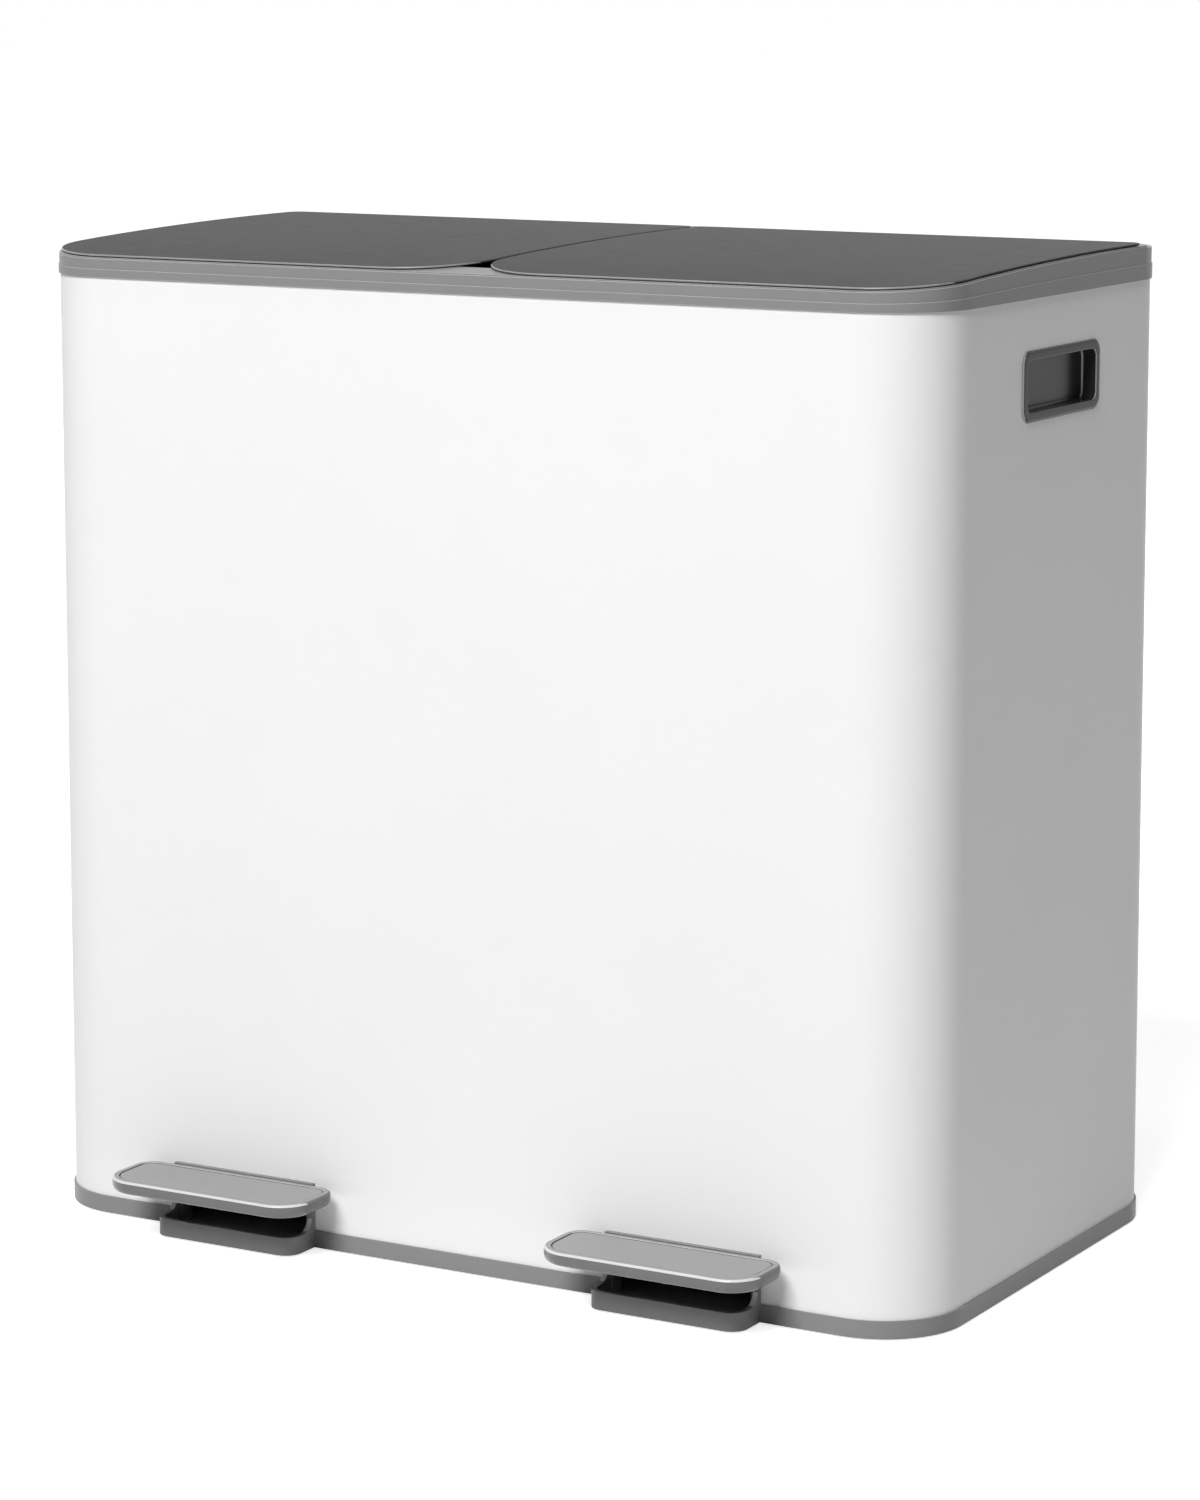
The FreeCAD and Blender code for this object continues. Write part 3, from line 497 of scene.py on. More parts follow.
class Tree:
    """A Geometry Nodes tree with named inputs, built one node at a time."""

    def __init__(self, name, **inputs):
        self.group = bpy.data.node_groups.new(name, "GeometryNodeTree")
        interface = self.group.interface
        interface.new_socket(name="Geometry", in_out="OUTPUT", socket_type="NodeSocketGeometry")
        interface.new_socket(name="Geometry", in_out="INPUT", socket_type="NodeSocketGeometry")
        for label, value in inputs.items():
            socket = interface.new_socket(name=label.replace("_", " "), in_out="INPUT",
                                          socket_type=SOCKETS[type(value)])
            socket.default_value = value
        interface.new_socket(name="Finish", in_out="INPUT", socket_type="NodeSocketMaterial")
        self.given = self.group.nodes.new("NodeGroupInput").outputs

    def add(self, kind, output=0, settings=(), **inputs):
        """Adds a node. An input is a number, a vector or another node's output."""
        node = self.group.nodes.new(kind)
        for name, value in dict(settings).items():
            setattr(node, name, value)
        for label, value in inputs.items():
            self.feed(node, label, value)
        return node.outputs[output]

    def feed(self, node, label, value):
        place = int(label[1:]) if label[1:].isdigit() else label.replace("_", " ")
        socket = node.inputs[place]
        for one in value if isinstance(value, list) else [value]:
            if isinstance(one, bpy.types.NodeSocket):
                self.group.links.new(one, socket)
            else:
                socket.default_value = one

    def sum(self, operation, first, second=0.0):
        return self.add("ShaderNodeMath", settings={"operation": operation}, i0=first, i1=second)

    def vector(self, x, y, z):
        return self.add("ShaderNodeCombineXYZ", i0=x, i1=y, i2=z)

    def finish(self, geometry):
        """Ends the tree with real geometry in its finish."""
        real = self.add("GeometryNodeRealizeInstances", i0=geometry)
        coated = self.add("GeometryNodeSetMaterial", i0=real, Material=self.given["Finish"])
        self.group.links.new(coated, self.group.nodes.new("NodeGroupOutput").inputs[0])
        return self

    def grow(self, name, places, finish, **values):
        """Runs the tree on points at the given places, and returns what it makes as a plain mesh."""
        bm = bmesh.new()
        for x, y, z in places:
            bm.verts.new((x, y + MIDDLE_Y, z))
        mesh = bpy.data.meshes.new(name)
        bm.to_mesh(mesh)
        bm.free()
        piece = bpy.data.objects.new(name, mesh)
        bpy.context.scene.collection.objects.link(piece)
        modifier = piece.modifiers.new(self.group.name, "NODES")
        modifier.node_group = self.group
        wanted = {label.replace("_", " "): value for label, value in values.items()}
        wanted["Finish"] = finish
        for item in self.group.interface.items_tree:
            if item.in_out == "INPUT" and item.name in wanted:
                modifier[item.identifier] = wanted.pop(item.name)
        if wanted:
            raise RuntimeError(f"{name}: the tree has no input {sorted(wanted)}")
        return settle(piece)


def rounded_block(tree, width, depth, radius, low, high):
    """Nodes for an upright block with rounded corners in plan, radius being a number or a field."""
    line = tree.add("GeometryNodeCurvePrimitiveQuadrilateral", i0=width, i1=depth)
    line = tree.add("GeometryNodeFilletCurve", settings={"mode": "POLY"}, Curve=line, Radius=radius,
                    Count=tree.given["Arc steps"])
    floor = tree.add("GeometryNodeFillCurve", settings={"mode": "NGONS"}, Curve=line)
    shift = tree.add("GeometryNodeTransform", Geometry=floor, Translation=tree.vector(0.0, 0.0, low))
    wall = tree.add("GeometryNodeExtrudeMesh", settings={"mode": "FACES"}, Mesh=shift,
                    Offset=(0.0, 0.0, 1.0), Offset_Scale=tree.sum("SUBTRACT", high, low),
                    Individual=False)
    base = tree.add("GeometryNodeFlipFaces", Mesh=shift)
    joined = tree.add("GeometryNodeJoinGeometry", Geometry=[base, wall])
    return tree.add("GeometryNodeMergeByDistance", Geometry=joined, Distance=SAME_POINT)


def sleeve_tree():
    """A sheet sleeve with rounded corners, cut out for two pedal necks and two handle cups."""
    tree = Tree("Sheet sleeve", Width=0.5, Depth=0.3, Front_radius=0.05, Rear_radius=0.05, Sheet=0.0006,
                Low=0.0, High=0.5, Arc_steps=20, Neck_x=0.1, Neck_width=0.09, Neck_top=0.04, Cup_y=0.0,
                Cup_z=0.5, Cup_long=0.1, Cup_tall=0.03, Cup_radius=0.006)
    given = tree.given
    split = tree.group.nodes.new("ShaderNodeSeparateXYZ")
    tree.group.links.new(tree.add("GeometryNodeInputPosition"), split.inputs[0])
    in_front = tree.add("FunctionNodeCompare", settings={"operation": "LESS_THAN"},
                        i0=split.outputs[1], i1=0.0)
    radius = tree.add("GeometryNodeSwitch", settings={"input_type": "FLOAT"}, i0=in_front,
                      i1=given["Rear radius"], i2=given["Front radius"])
    twice = tree.sum("MULTIPLY", given["Sheet"], 2.0)
    block = rounded_block(tree, given["Width"], given["Depth"], radius, given["Low"], given["High"])
    hollow = rounded_block(tree, tree.sum("SUBTRACT", given["Width"], twice),
                           tree.sum("SUBTRACT", given["Depth"], twice),
                           tree.sum("SUBTRACT", radius, given["Sheet"]),
                           tree.sum("SUBTRACT", given["Low"], CUTTER_PAST),
                           tree.sum("ADD", given["High"], CUTTER_PAST))
    cutters = [hollow]
    front_y = tree.sum("MULTIPLY", given["Depth"], -0.5)
    for side in (1.0, -1.0):
        cube = tree.add("GeometryNodeMeshCube", Size=tree.vector(
            given["Neck width"], 2 * CUTTER_PAST, tree.sum("MULTIPLY", given["Neck top"], 2.0)))
        cutters.append(tree.add("GeometryNodeTransform", Geometry=cube, Translation=tree.vector(
            tree.sum("MULTIPLY", given["Neck x"], side), front_y, 0.0)))
        cup = rounded_block(tree, given["Cup long"], given["Cup tall"], given["Cup radius"],
                            -CUTTER_PAST, CUTTER_PAST)
        cutters.append(tree.add("GeometryNodeTransform", Geometry=cup,
                                Rotation=(math.pi / 2, 0.0, math.pi / 2), Translation=tree.vector(
                                    tree.sum("MULTIPLY", given["Width"], side / 2), given["Cup y"],
                                    given["Cup z"])))
    cut = tree.add("GeometryNodeMeshBoolean", settings={"operation": "DIFFERENCE", "solver": "EXACT"},
                   i0=block, i1=cutters)
    return tree.finish(on_points(tree, cut, (0.0, 0.0, 0.0)))


def disc_nodes(tree, radius, tall, edge, steps):
    """Nodes for an upright disc about the origin with rounded rims."""
    disc = tree.add("GeometryNodeMeshCylinder", settings={"fill_type": "NGON"}, Vertices=steps,
                    Side_Segments=12, Radius=radius, Depth=tall)
    place = tree.add("GeometryNodeInputPosition")
    split = tree.group.nodes.new("ShaderNodeSeparateXYZ")
    tree.group.links.new(place, split.inputs[0])
    straight = tree.sum("SUBTRACT", tree.sum("MULTIPLY", tall, 0.5), edge)
    past = tree.sum("SUBTRACT", tree.sum("ABSOLUTE", split.outputs[2]), straight)
    past = tree.sum("MAXIMUM", past, 0.0)
    room = tree.sum("SUBTRACT", tree.sum("MULTIPLY", edge, edge), tree.sum("MULTIPLY", past, past))
    reach = tree.sum("ADD", tree.sum("SQRT", tree.sum("MAXIMUM", room, 0.0)),
                     tree.sum("SUBTRACT", radius, edge))
    share = tree.sum("DIVIDE", reach, radius)
    moved = tree.vector(tree.sum("MULTIPLY", split.outputs[0], share),
                        tree.sum("MULTIPLY", split.outputs[1], share), split.outputs[2])
    return tree.add("GeometryNodeSetPosition", Geometry=disc, Position=moved)


def on_points(tree, shape, rotation):
    return tree.add("GeometryNodeInstanceOnPoints", Points=tree.given["Geometry"], Instance=shape,
                    Rotation=rotation)


def button_tree():
    """Round-edged discs, one on each point, which is the middle of the disc."""
    tree = Tree("Round buttons", Radius=0.01, Tall=0.002, Edge=0.0005, Steps=48, Turn=(0.0, 0.0, 0.0))
    given = tree.given
    disc = disc_nodes(tree, given["Radius"], given["Tall"], given["Edge"], given["Steps"])
    return tree.finish(on_points(tree, disc, given["Turn"]))


def rivet_tree():
    """Domed rivets, one on each point, where the head sits. The head points along local Z."""
    tree = Tree("Rivets", Head_radius=0.003, Head_tall=0.001, Shank_radius=0.0015, Shank_length=0.004,
                Turn=(0.0, 0.0, 0.0))
    given = tree.given
    ball = tree.add("GeometryNodeMeshUVSphere", Segments=24, Rings=14, Radius=1.0)
    head = tree.add("GeometryNodeTransform", Geometry=ball,
                    Scale=tree.vector(given["Head radius"], given["Head radius"], given["Head tall"]))
    shank = tree.add("GeometryNodeMeshCylinder", Vertices=20, Radius=given["Shank radius"],
                     Depth=given["Shank length"])
    low = tree.sum("MULTIPLY", given["Shank length"], -0.5)
    shank = tree.add("GeometryNodeTransform", Geometry=shank, Translation=tree.vector(0.0, 0.0, low))
    whole = tree.add("GeometryNodeMeshBoolean", settings={"operation": "UNION"}, i1=[head, shank])
    return tree.finish(on_points(tree, whole, given["Turn"]))


def socket_screw_tree():
    """Round-headed screws with a hexagon socket, one on each point, where the head sits."""
    tree = Tree("Socket screws", Head_radius=0.004, Head_tall=0.0024, Edge=0.0004, Socket_radius=0.0016,
                Socket_depth=0.0015, Shank_radius=0.002, Shank_length=0.004)
    given = tree.given
    disc = disc_nodes(tree, given["Head radius"], given["Head tall"], given["Edge"], 40)
    middle = tree.sum("MULTIPLY", given["Head tall"], 0.5)
    head = tree.add("GeometryNodeTransform", Geometry=disc, Translation=tree.vector(0.0, 0.0, middle))
    shank = tree.add("GeometryNodeMeshCylinder", Vertices=24, Radius=given["Shank radius"],
                     Depth=given["Shank length"])
    low = tree.sum("MULTIPLY", given["Shank length"], -0.5)
    shank = tree.add("GeometryNodeTransform", Geometry=shank, Translation=tree.vector(0.0, 0.0, low))
    hexagon = tree.add("GeometryNodeMeshCylinder", Vertices=6, Radius=given["Socket radius"],
                       Depth=tree.sum("MULTIPLY", given["Socket depth"], 2.0))
    hexagon = tree.add("GeometryNodeTransform", Geometry=hexagon,
                       Translation=tree.vector(0.0, 0.0, given["Head tall"]))
    cut = tree.add("GeometryNodeMeshBoolean", settings={"operation": "DIFFERENCE"}, i0=head,
                   i1=[hexagon])
    whole = tree.add("GeometryNodeJoinGeometry", Geometry=[cut, shank])
    return tree.finish(on_points(tree, whole, (0.0, 0.0, 0.0)))


# Finishes

def surface(name, colour, rough, grain, relief, patch=0.04, patch_scale=7.0, rough_spread=0.05,
            metallic=0.0, specular=0.5, stretch=(1.0, 1.0, 1.0)):
    """A finish with slow colour variation, uneven gloss and a fine grain of given scale and relief."""
    found = bpy.data.materials.get(name)
    if found:
        return found
    material = bpy.data.materials.new(name)
    material.use_nodes = True
    material.diffuse_color = (*colour, 1.0)
    tree = material.node_tree
    tree.nodes.clear()

    def node(kind, **inputs):
        made = tree.nodes.new(kind)
        for label, value in inputs.items():
            socket = made.inputs[label.replace("_", " ")]
            if isinstance(value, bpy.types.NodeSocket):
                tree.links.new(value, socket)
            else:
                socket.default_value = value
        return made

    place = node("ShaderNodeTexCoord").outputs["Object"]
    drawn = node("ShaderNodeMapping", Vector=place, Scale=stretch).outputs["Vector"]
    patches = node("ShaderNodeTexNoise", Vector=place, Scale=patch_scale, Detail=3.0, Roughness=0.55)
    darker = tuple(c * (1 - patch) for c in colour)
    lighter = tuple(min(c * (1 + patch), 1.0) for c in colour)
    blend = tree.nodes.new("ShaderNodeValToRGB")
    blend.color_ramp.elements[0].position, blend.color_ramp.elements[1].position = 0.3, 0.7
    blend.color_ramp.elements[0].color, blend.color_ramp.elements[1].color = (*darker, 1), (*lighter, 1)
    tree.links.new(patches.outputs["Fac"], blend.inputs["Fac"])
    fine = node("ShaderNodeTexNoise", Vector=drawn, Scale=grain, Detail=2.0, Roughness=0.6)
    uneven = node("ShaderNodeTexNoise", Vector=drawn, Scale=grain / 12, Detail=4.0, Roughness=0.6)
    gloss = node("ShaderNodeMapRange", Value=uneven.outputs["Fac"])
    gloss.inputs["To Min"].default_value = rough - rough_spread
    gloss.inputs["To Max"].default_value = rough + rough_spread
    bump = node("ShaderNodeBump", Height=fine.outputs["Fac"], Distance=relief, Strength=1.0)
    shader = node("ShaderNodeBsdfPrincipled", Base_Color=blend.outputs["Color"],
                  Roughness=gloss.outputs["Result"], Normal=bump.outputs["Normal"], Metallic=metallic,
                  Specular_IOR_Level=specular)
    node("ShaderNodeOutputMaterial", Surface=shader.outputs["BSDF"])
    return material


def white_coat():
    return surface("White coated sheet", tuple(finishes().body), 0.46, 420.0, 0.000014, patch=0.008,
                   rough_spread=0.03, specular=0.22)


def lid_coat():
    return surface("Charcoal coated lid", tuple(finishes().lid), 0.55, 900.0, 0.000010, patch=0.03,
                   specular=0.09)


# A lighter grey painted on the lids' front edge as a highlight
def lid_highlight_coat():
    return surface("Bright lid edge", tuple(finishes().lid_rim), 0.28, 900.0, 0.000006, patch=0.05)


def rim_plastic():
    return surface("Grey moulded rim", tuple(finishes().rim), 0.36, 1500.0, 0.000010, patch=0.025,
                   specular=0.14)


# A light grey painted on the upward edges of the rim, base and pedals as a highlight
def painted_highlight_edge():
    return surface("Polished grey edge", tuple(finishes().painted_edge_highlight), 0.24, 1500.0, 0.000006, patch=0.05)


# Darker grey of the pedals' sides: painted shade for light from above
def pedal_shaded_side_plastic():
    return surface("Grey moulded pedal", tuple(finishes().pedal), 0.26, 1300.0, 0.000008, patch=0.025)


def pad_plastic():
    return surface("Grained pedal top", tuple(finishes().pad), 0.34, 1900.0, 0.00002, patch=0.03)


def handle_plastic():
    return surface("Dark moulded handle", tuple(finishes().handle), 0.24, 1200.0, 0.000006, patch=0.03,
                   specular=0.12)


# A lighter grey painted on the handle cups' edges as highlights
def handle_highlight_finish():
    return surface("Rubbed handle edge", tuple(finishes().handle_highlight), 0.22, 1200.0, 0.000006,
                   patch=0.03)


def bucket_plastic():
    return surface("Black bucket plastic", tuple(finishes().bucket), 0.42, 1000.0, 0.00001, patch=0.06)


def liner_plastic():
    return surface("Dark liner plastic", (0.06, 0.06, 0.062), 0.45, 1100.0, 0.000012, patch=0.05)


def guide_plastic():
    return surface("Black guide plastic", (0.025, 0.025, 0.026), 0.38, 1200.0, 0.00001, patch=0.06)


def zinc_steel():
    return surface("Zinc plated steel", (0.56, 0.57, 0.58), 0.32, 260.0, 0.000006, patch=0.10,
                   patch_scale=60.0, rough_spread=0.08, metallic=1.0)


def lever_coat():
    return surface("Grey coated lever", (0.50, 0.50, 0.50), 0.30, 700.0, 0.000008, patch=0.05)


def drawn_steel():
    return surface("Drawn steel pin", (0.60, 0.60, 0.61), 0.24, 900.0, 0.000004, patch=0.06,
                   patch_scale=80.0, rough_spread=0.06, metallic=1.0, stretch=(1.0, 12.0, 12.0))


def black_rubber():
    return surface("Black rubber", (0.02, 0.02, 0.02), 0.72, 1600.0, 0.00003, patch=0.08, specular=0.35)


# Pieces, each made by an operator

class BIN_OT_stage(bpy.types.Operator):
    """Camera, lamps, floor and white surroundings"""
    bl_idname = "pedal_bin.stage"
    bl_label = "Stage"

    def execute(self, context):
        scene = context.scene
        scene.view_settings.view_transform = "Standard"
        data = bpy.data.cameras.new("Camera")
        data.sensor_fit = "AUTO"
        data.lens = FOCAL_PIXELS * data.sensor_width / PICTURE_HIGH
        data.shift_y = CAMERA_SHIFT
        data.clip_end = 50.0
        camera = bpy.data.objects.new("Camera", data)
        x, y, z = CAMERA_PLACE
        camera.location = (x, y + MIDDLE_Y, z)
        camera.rotation_euler = (math.pi / 2 - CAMERA_PITCH, 0.0, CAMERA_YAW)
        scene.collection.objects.link(camera)
        scene.camera = camera
        self.surround(scene)
        self.floor(scene)
        for name, place, size, setting in LAMPS:
            self.lamp(scene, name, place, size, getattr(stage_settings(), setting))
        return {"FINISHED"}

    def seen(self, tree):
        """1 for what the camera sees, directly or in gloss or glass."""
        path = tree.nodes.new("ShaderNodeLightPath")
        total = path.outputs["Is Camera Ray"]
        for other in ("Is Glossy Ray", "Is Transmission Ray"):
            larger = tree.nodes.new("ShaderNodeMath")
            larger.operation = "MAXIMUM"
            tree.links.new(total, larger.inputs[0])
            tree.links.new(path.outputs[other], larger.inputs[1])
            total = larger.outputs[0]
        return total

    def surround(self, scene):
        world = bpy.data.worlds.new("White surroundings")
        world.use_nodes = True
        tree = world.node_tree
        tree.nodes.clear()
        room = tree.nodes.new("ShaderNodeBackground")
        room.inputs["Strength"].default_value = stage_settings().room_light
        white = tree.nodes.new("ShaderNodeBackground")
        for background in (room, white):
            background.inputs["Color"].default_value = (1.0, 1.0, 1.0, 1.0)
        mix = tree.nodes.new("ShaderNodeMixShader")
        tree.links.new(self.seen(tree), mix.inputs[0])
        tree.links.new(room.outputs[0], mix.inputs[1])
        tree.links.new(white.outputs[0], mix.inputs[2])
        out = tree.nodes.new("ShaderNodeOutputWorld")
        tree.links.new(mix.outputs[0], out.inputs["Surface"])
        scene.world = world

    def floor(self, scene):
        bm = bmesh.new()
        bmesh.ops.create_grid(bm, x_segments=1, y_segments=1, size=FLOOR_HALF)
        mesh = bpy.data.meshes.new("Floor")
        bm.to_mesh(mesh)
        bm.free()
        material = bpy.data.materials.new("Pale floor")
        material.use_nodes = True
        tree = material.node_tree
        tree.nodes.clear()
        matt = tree.nodes.new("ShaderNodeBsdfDiffuse")
        matt.inputs["Color"].default_value = FLOOR_COLOUR
        glow = tree.nodes.new("ShaderNodeEmission")
        place = tree.nodes.new("ShaderNodeTexCoord")
        away = tree.nodes.new("ShaderNodeVectorMath")
        away.operation = "LENGTH"
        tree.links.new(place.outputs["Object"], away.inputs[0])
        spread = tree.nodes.new("ShaderNodeMapRange")
        spread.interpolation_type = "SMOOTHSTEP"
        for label, value in FLOOR_GLOW.items():
            spread.inputs[label].default_value = value
        tree.links.new(away.outputs["Value"], spread.inputs["Value"])
        lift = tree.nodes.new("ShaderNodeMath")
        lift.operation = "MULTIPLY"
        tree.links.new(spread.outputs["Result"], lift.inputs[1])
        tree.links.new(self.seen(tree), lift.inputs[0])
        tree.links.new(lift.outputs[0], glow.inputs["Strength"])
        both = tree.nodes.new("ShaderNodeAddShader")
        tree.links.new(matt.outputs[0], both.inputs[0])
        tree.links.new(glow.outputs[0], both.inputs[1])
        out = tree.nodes.new("ShaderNodeOutputMaterial")
        tree.links.new(both.outputs[0], out.inputs["Surface"])
        mesh.materials.append(material)
        floor = bpy.data.objects.new("Floor", mesh)
        scene.collection.objects.link(floor)

    def lamp(self, scene, name, place, size, power):
        data = bpy.data.lights.new(name, "AREA")
        data.shape = "RECTANGLE"
        data.size, data.size_y = size
        data.energy = power
        lamp = bpy.data.objects.new(name, data)
        lamp.location = place
        lamp.rotation_euler = (Vector(LAMP_AIM) - Vector(place)).to_track_quat("-Z", "Y").to_euler()
        scene.collection.objects.link(lamp)


class BIN_OT_body_shell(bpy.types.Operator):
    """Coated sheet body"""
    bl_idname = "pedal_bin.body_shell"
    bl_label = "Body shell"

    def execute(self, context):
        cup_long, cup_tall, cup_radius = CUP_OUTER
        piece = sleeve_tree().grow(
            "body_shell", [(0.0, 0.0, 0.0)], white_coat(), Width=BODY_WIDTH, Depth=BODY_DEPTH,
            Front_radius=FRONT_RADIUS, Rear_radius=REAR_RADIUS, Sheet=SHEET, Low=SHELL_LOW.z,
            High=SHELL_HIGH.z, Arc_steps=sizes().arc_steps, Neck_x=DRIVE_X, Neck_width=NECK_WIDTH,
            Neck_top=NECK_TOP, Cup_y=CUP_Y, Cup_z=CUP_Z, Cup_long=cup_long, Cup_tall=cup_tall,
            Cup_radius=cup_radius)
        place(smooth(piece), "housing", "shell_white", "outer_shell")
        return {"FINISHED"}


class BIN_OT_rim(bpy.types.Operator):
    """Top rim with its mouths and ledges"""
    bl_idname = "pedal_bin.rim"
    bl_label = "Top rim"

    def execute(self, context):
        # The rim's upward bevel faces get a painted highlight
        piece = from_node("rim", "top_rim", rim_plastic(), sizes().moulded_edge,
                          highlight_finish=painted_highlight_edge())
        place(piece, "housing", "rim_grey", "top_rim")
        return {"FINISHED"}


class BIN_OT_base(bpy.types.Operator):
    """Base ring with the housing behind each pedal"""
    bl_idname = "pedal_bin.base"
    bl_label = "Base"

    def execute(self, context):
        def lower_bezels(bm):
            for vert in bm.verts:
                if vert.co.z > BEZEL_TOP - BEZEL_REACH:
                    vert.co.z -= BEZEL_DROP

        # The base's upward bevel faces get a painted highlight
        piece = from_node("base", "base_tray", rim_plastic(), sizes().moulded_edge, 3,
                          highlight_finish=painted_highlight_edge(), reshape=lower_bezels)
        place(piece, "housing", "rim_grey", "base_tray")
        return {"FINISHED"}


class BIN_OT_lids(bpy.types.Operator):
    """Crowned lid covers, with the liners under them"""
    bl_idname = "pedal_bin.lids"
    bl_label = "Lids"

    def execute(self, context):
        outer = FRONT_RADIUS + OVERHANG - LID_INSET
        half_width = BODY_WIDTH / 2 + OVERHANG - LID_INSET
        front_y = -BODY_DEPTH / 2 - OVERHANG + LID_INSET
        points = outline(LID_SEAM, half_width, front_y, LID_REAR_Y,
                         (LID_INNER_RADIUS, outer, LID_REAR_RADIUS, LID_REAR_RADIUS))
        edge = sizes().lid_edge
        low = LID_TOP - LID_THICK
        profile = [(-LID_UNDER_EDGE, low), (0.0, low + LID_UNDER_EDGE)]
        profile += [(edge * (math.cos(a) - 1), LID_TOP - edge + edge * math.sin(a)) for a in quarter(5)]
        bm = bmesh.new()
        swept(bm, points, profile, 1.0)
        piece = new_piece("lid_right_cover", bm, lid_coat())
        # The lids' front edge faces get a lighter finish: a painted highlight
        piece.data.materials.append(lid_highlight_coat())
        for polygon in piece.data.polygons:
            if abs(polygon.normal.z) < LID_HIGHLIGHT_RISE and polygon.normal.y < LID_HIGHLIGHT_Y:
                polygon.material_index = 1
        smooth(piece, 50.0)
        place_pair(piece, "lid_cover", "lid_SIDE", "lid_grey")
        for side in SIDES:
            liner = from_node(f"lid_{side}_liner", f"lid_liner_{side}", liner_plastic(), LINER_EDGE)
            place(liner, f"lid_{side}", "liner_grey", f"lid_liner_{side}")
        return {"FINISHED"}


class BIN_OT_pedals(bpy.types.Operator):
    """Pedals with rounded edges and a grained top"""
    bl_idname = "pedal_bin.pedals"
    bl_label = "Pedals"

    def execute(self, context):
        radii = (PEDAL_FRONT_RADIUS, PEDAL_FRONT_RADIUS, PEDAL_REAR_RADIUS, PEDAL_REAR_RADIUS)
        points = outline(DRIVE_X - PEDAL_WIDTH / 2, DRIVE_X + PEDAL_WIDTH / 2, PEDAL_FRONT_Y,
                         PEDAL_REAR_Y, radii, 0.008)
        under, edge = sizes().pedal_under_edge, sizes().pedal_top_edge
        pocket = PEDAL_TOP - PAD_RECESS - PAD_DEPTH
        tall = PEDAL_TOP - PEDAL_BOTTOM - edge - PEDAL_BAND
        profile = [(under * (math.sin(a) - 1), PEDAL_BOTTOM + tall * (1 - math.cos(a)))
                   for a in quarter(10)]
        profile += [(edge * (math.cos(a) - 1), PEDAL_TOP - edge + edge * math.sin(a))
                    for a in quarter(6)]
        profile += [(-PAD_INSET + POCKET_EDGE, PEDAL_TOP), (-PAD_INSET, PEDAL_TOP - POCKET_EDGE),
                    (-PAD_INSET, pocket)]
        bm = bmesh.new()
        swept(bm, points, profile)
        piece = new_piece("pedal_right_body", bm, pedal_shaded_side_plastic())
        # The pedals' upward front edges get a painted highlight
        paint_edge_highlights(piece, painted_highlight_edge(), PEDAL_HIGHLIGHT_Y)
        # Flat top faces take the lighter top colour, leaving the sides in painted shade
        piece.data.materials.append(pad_plastic())
        for polygon in piece.data.polygons:
            if polygon.normal.z >= PAINTED_LIGHT_RISE[1]:
                polygon.material_index = 2
        smooth(piece, 40.0)
        place_pair(piece, "pedal_body", "pedal_SIDE", "pedal_grey")
        inset = PAD_INSET + PAD_GROOVE
        top = PEDAL_TOP - PAD_RECESS
        profile = [(-inset, pocket + PAD_GAP), (-inset, top - PAD_EDGE),
                   (-inset - PAD_EDGE_MIDDLE, top - PAD_EDGE_MIDDLE), (-inset - PAD_EDGE, top)]
        bm = bmesh.new()
        swept(bm, points, profile)
        piece = smooth(new_piece("pedal_right_pad", bm, pad_plastic()), 50.0)
        place_pair(piece, "pedal_pad", "pedal_SIDE", "pad_grey")
        return {"FINISHED"}


class BIN_OT_handle_cups(bpy.types.Operator):
    """Handle cups sunk in the sides"""
    bl_idname = "pedal_bin.handle_cups"
    bl_label = "Handle cups"

    def execute(self, context):
        side_x = BODY_WIDTH / 2
        back = side_x - CUP_DEPTH
        bottom = back + CUP_FLOOR

        def ring(size, grow, x):
            width, height, radius = size
            shape = (width + 2 * grow, height + 2 * grow, radius + grow)
            return [(x, CUP_Y + u, CUP_Z + v) for u, v in rounded_ring(shape, 10)]

        bezel_edge, bezel_slope, lip_edge, fillet = 0.0009, 0.0022, 0.0008, 0.0013
        rings = [ring(CUP_OUTER, 0.0, back), ring(CUP_OUTER, 0.0, side_x), ring(CUP_BEZEL, 0.0, side_x)]
        rings += [ring(CUP_BEZEL, bezel_slope * (math.cos(a) - 1),
                       CUP_FACE - bezel_edge + bezel_edge * math.sin(a)) for a in quarter(5)]
        rings += [ring(CUP_INNER, lip_edge * (1 - math.sin(a)),
                       CUP_FACE - lip_edge + lip_edge * math.cos(a)) for a in quarter(4)]
        rings += [ring(CUP_INNER, fillet * (math.cos(a) - 1), bottom + fillet - fillet * math.sin(a))
                  for a in quarter(5)]
        bm = bmesh.new()
        loft(bm, rings)
        piece = new_piece("handle_right", bm, handle_plastic())
        # Faces turned between the side and the front, on the bezel, lip and floor fillet, get painted
        # highlights
        piece.data.materials.append(handle_highlight_finish())
        for polygon in piece.data.polygons:
            x, y, _ = polygon.normal
            if x > HANDLE_HIGHLIGHT_X and HANDLE_HIGHLIGHT_Y[0] < y < HANDLE_HIGHLIGHT_Y[1]:
                polygon.material_index = 1
        smooth(piece)
        place_pair(piece, "handle_cup", "housing", "handle_grey")
        return {"FINISHED"}


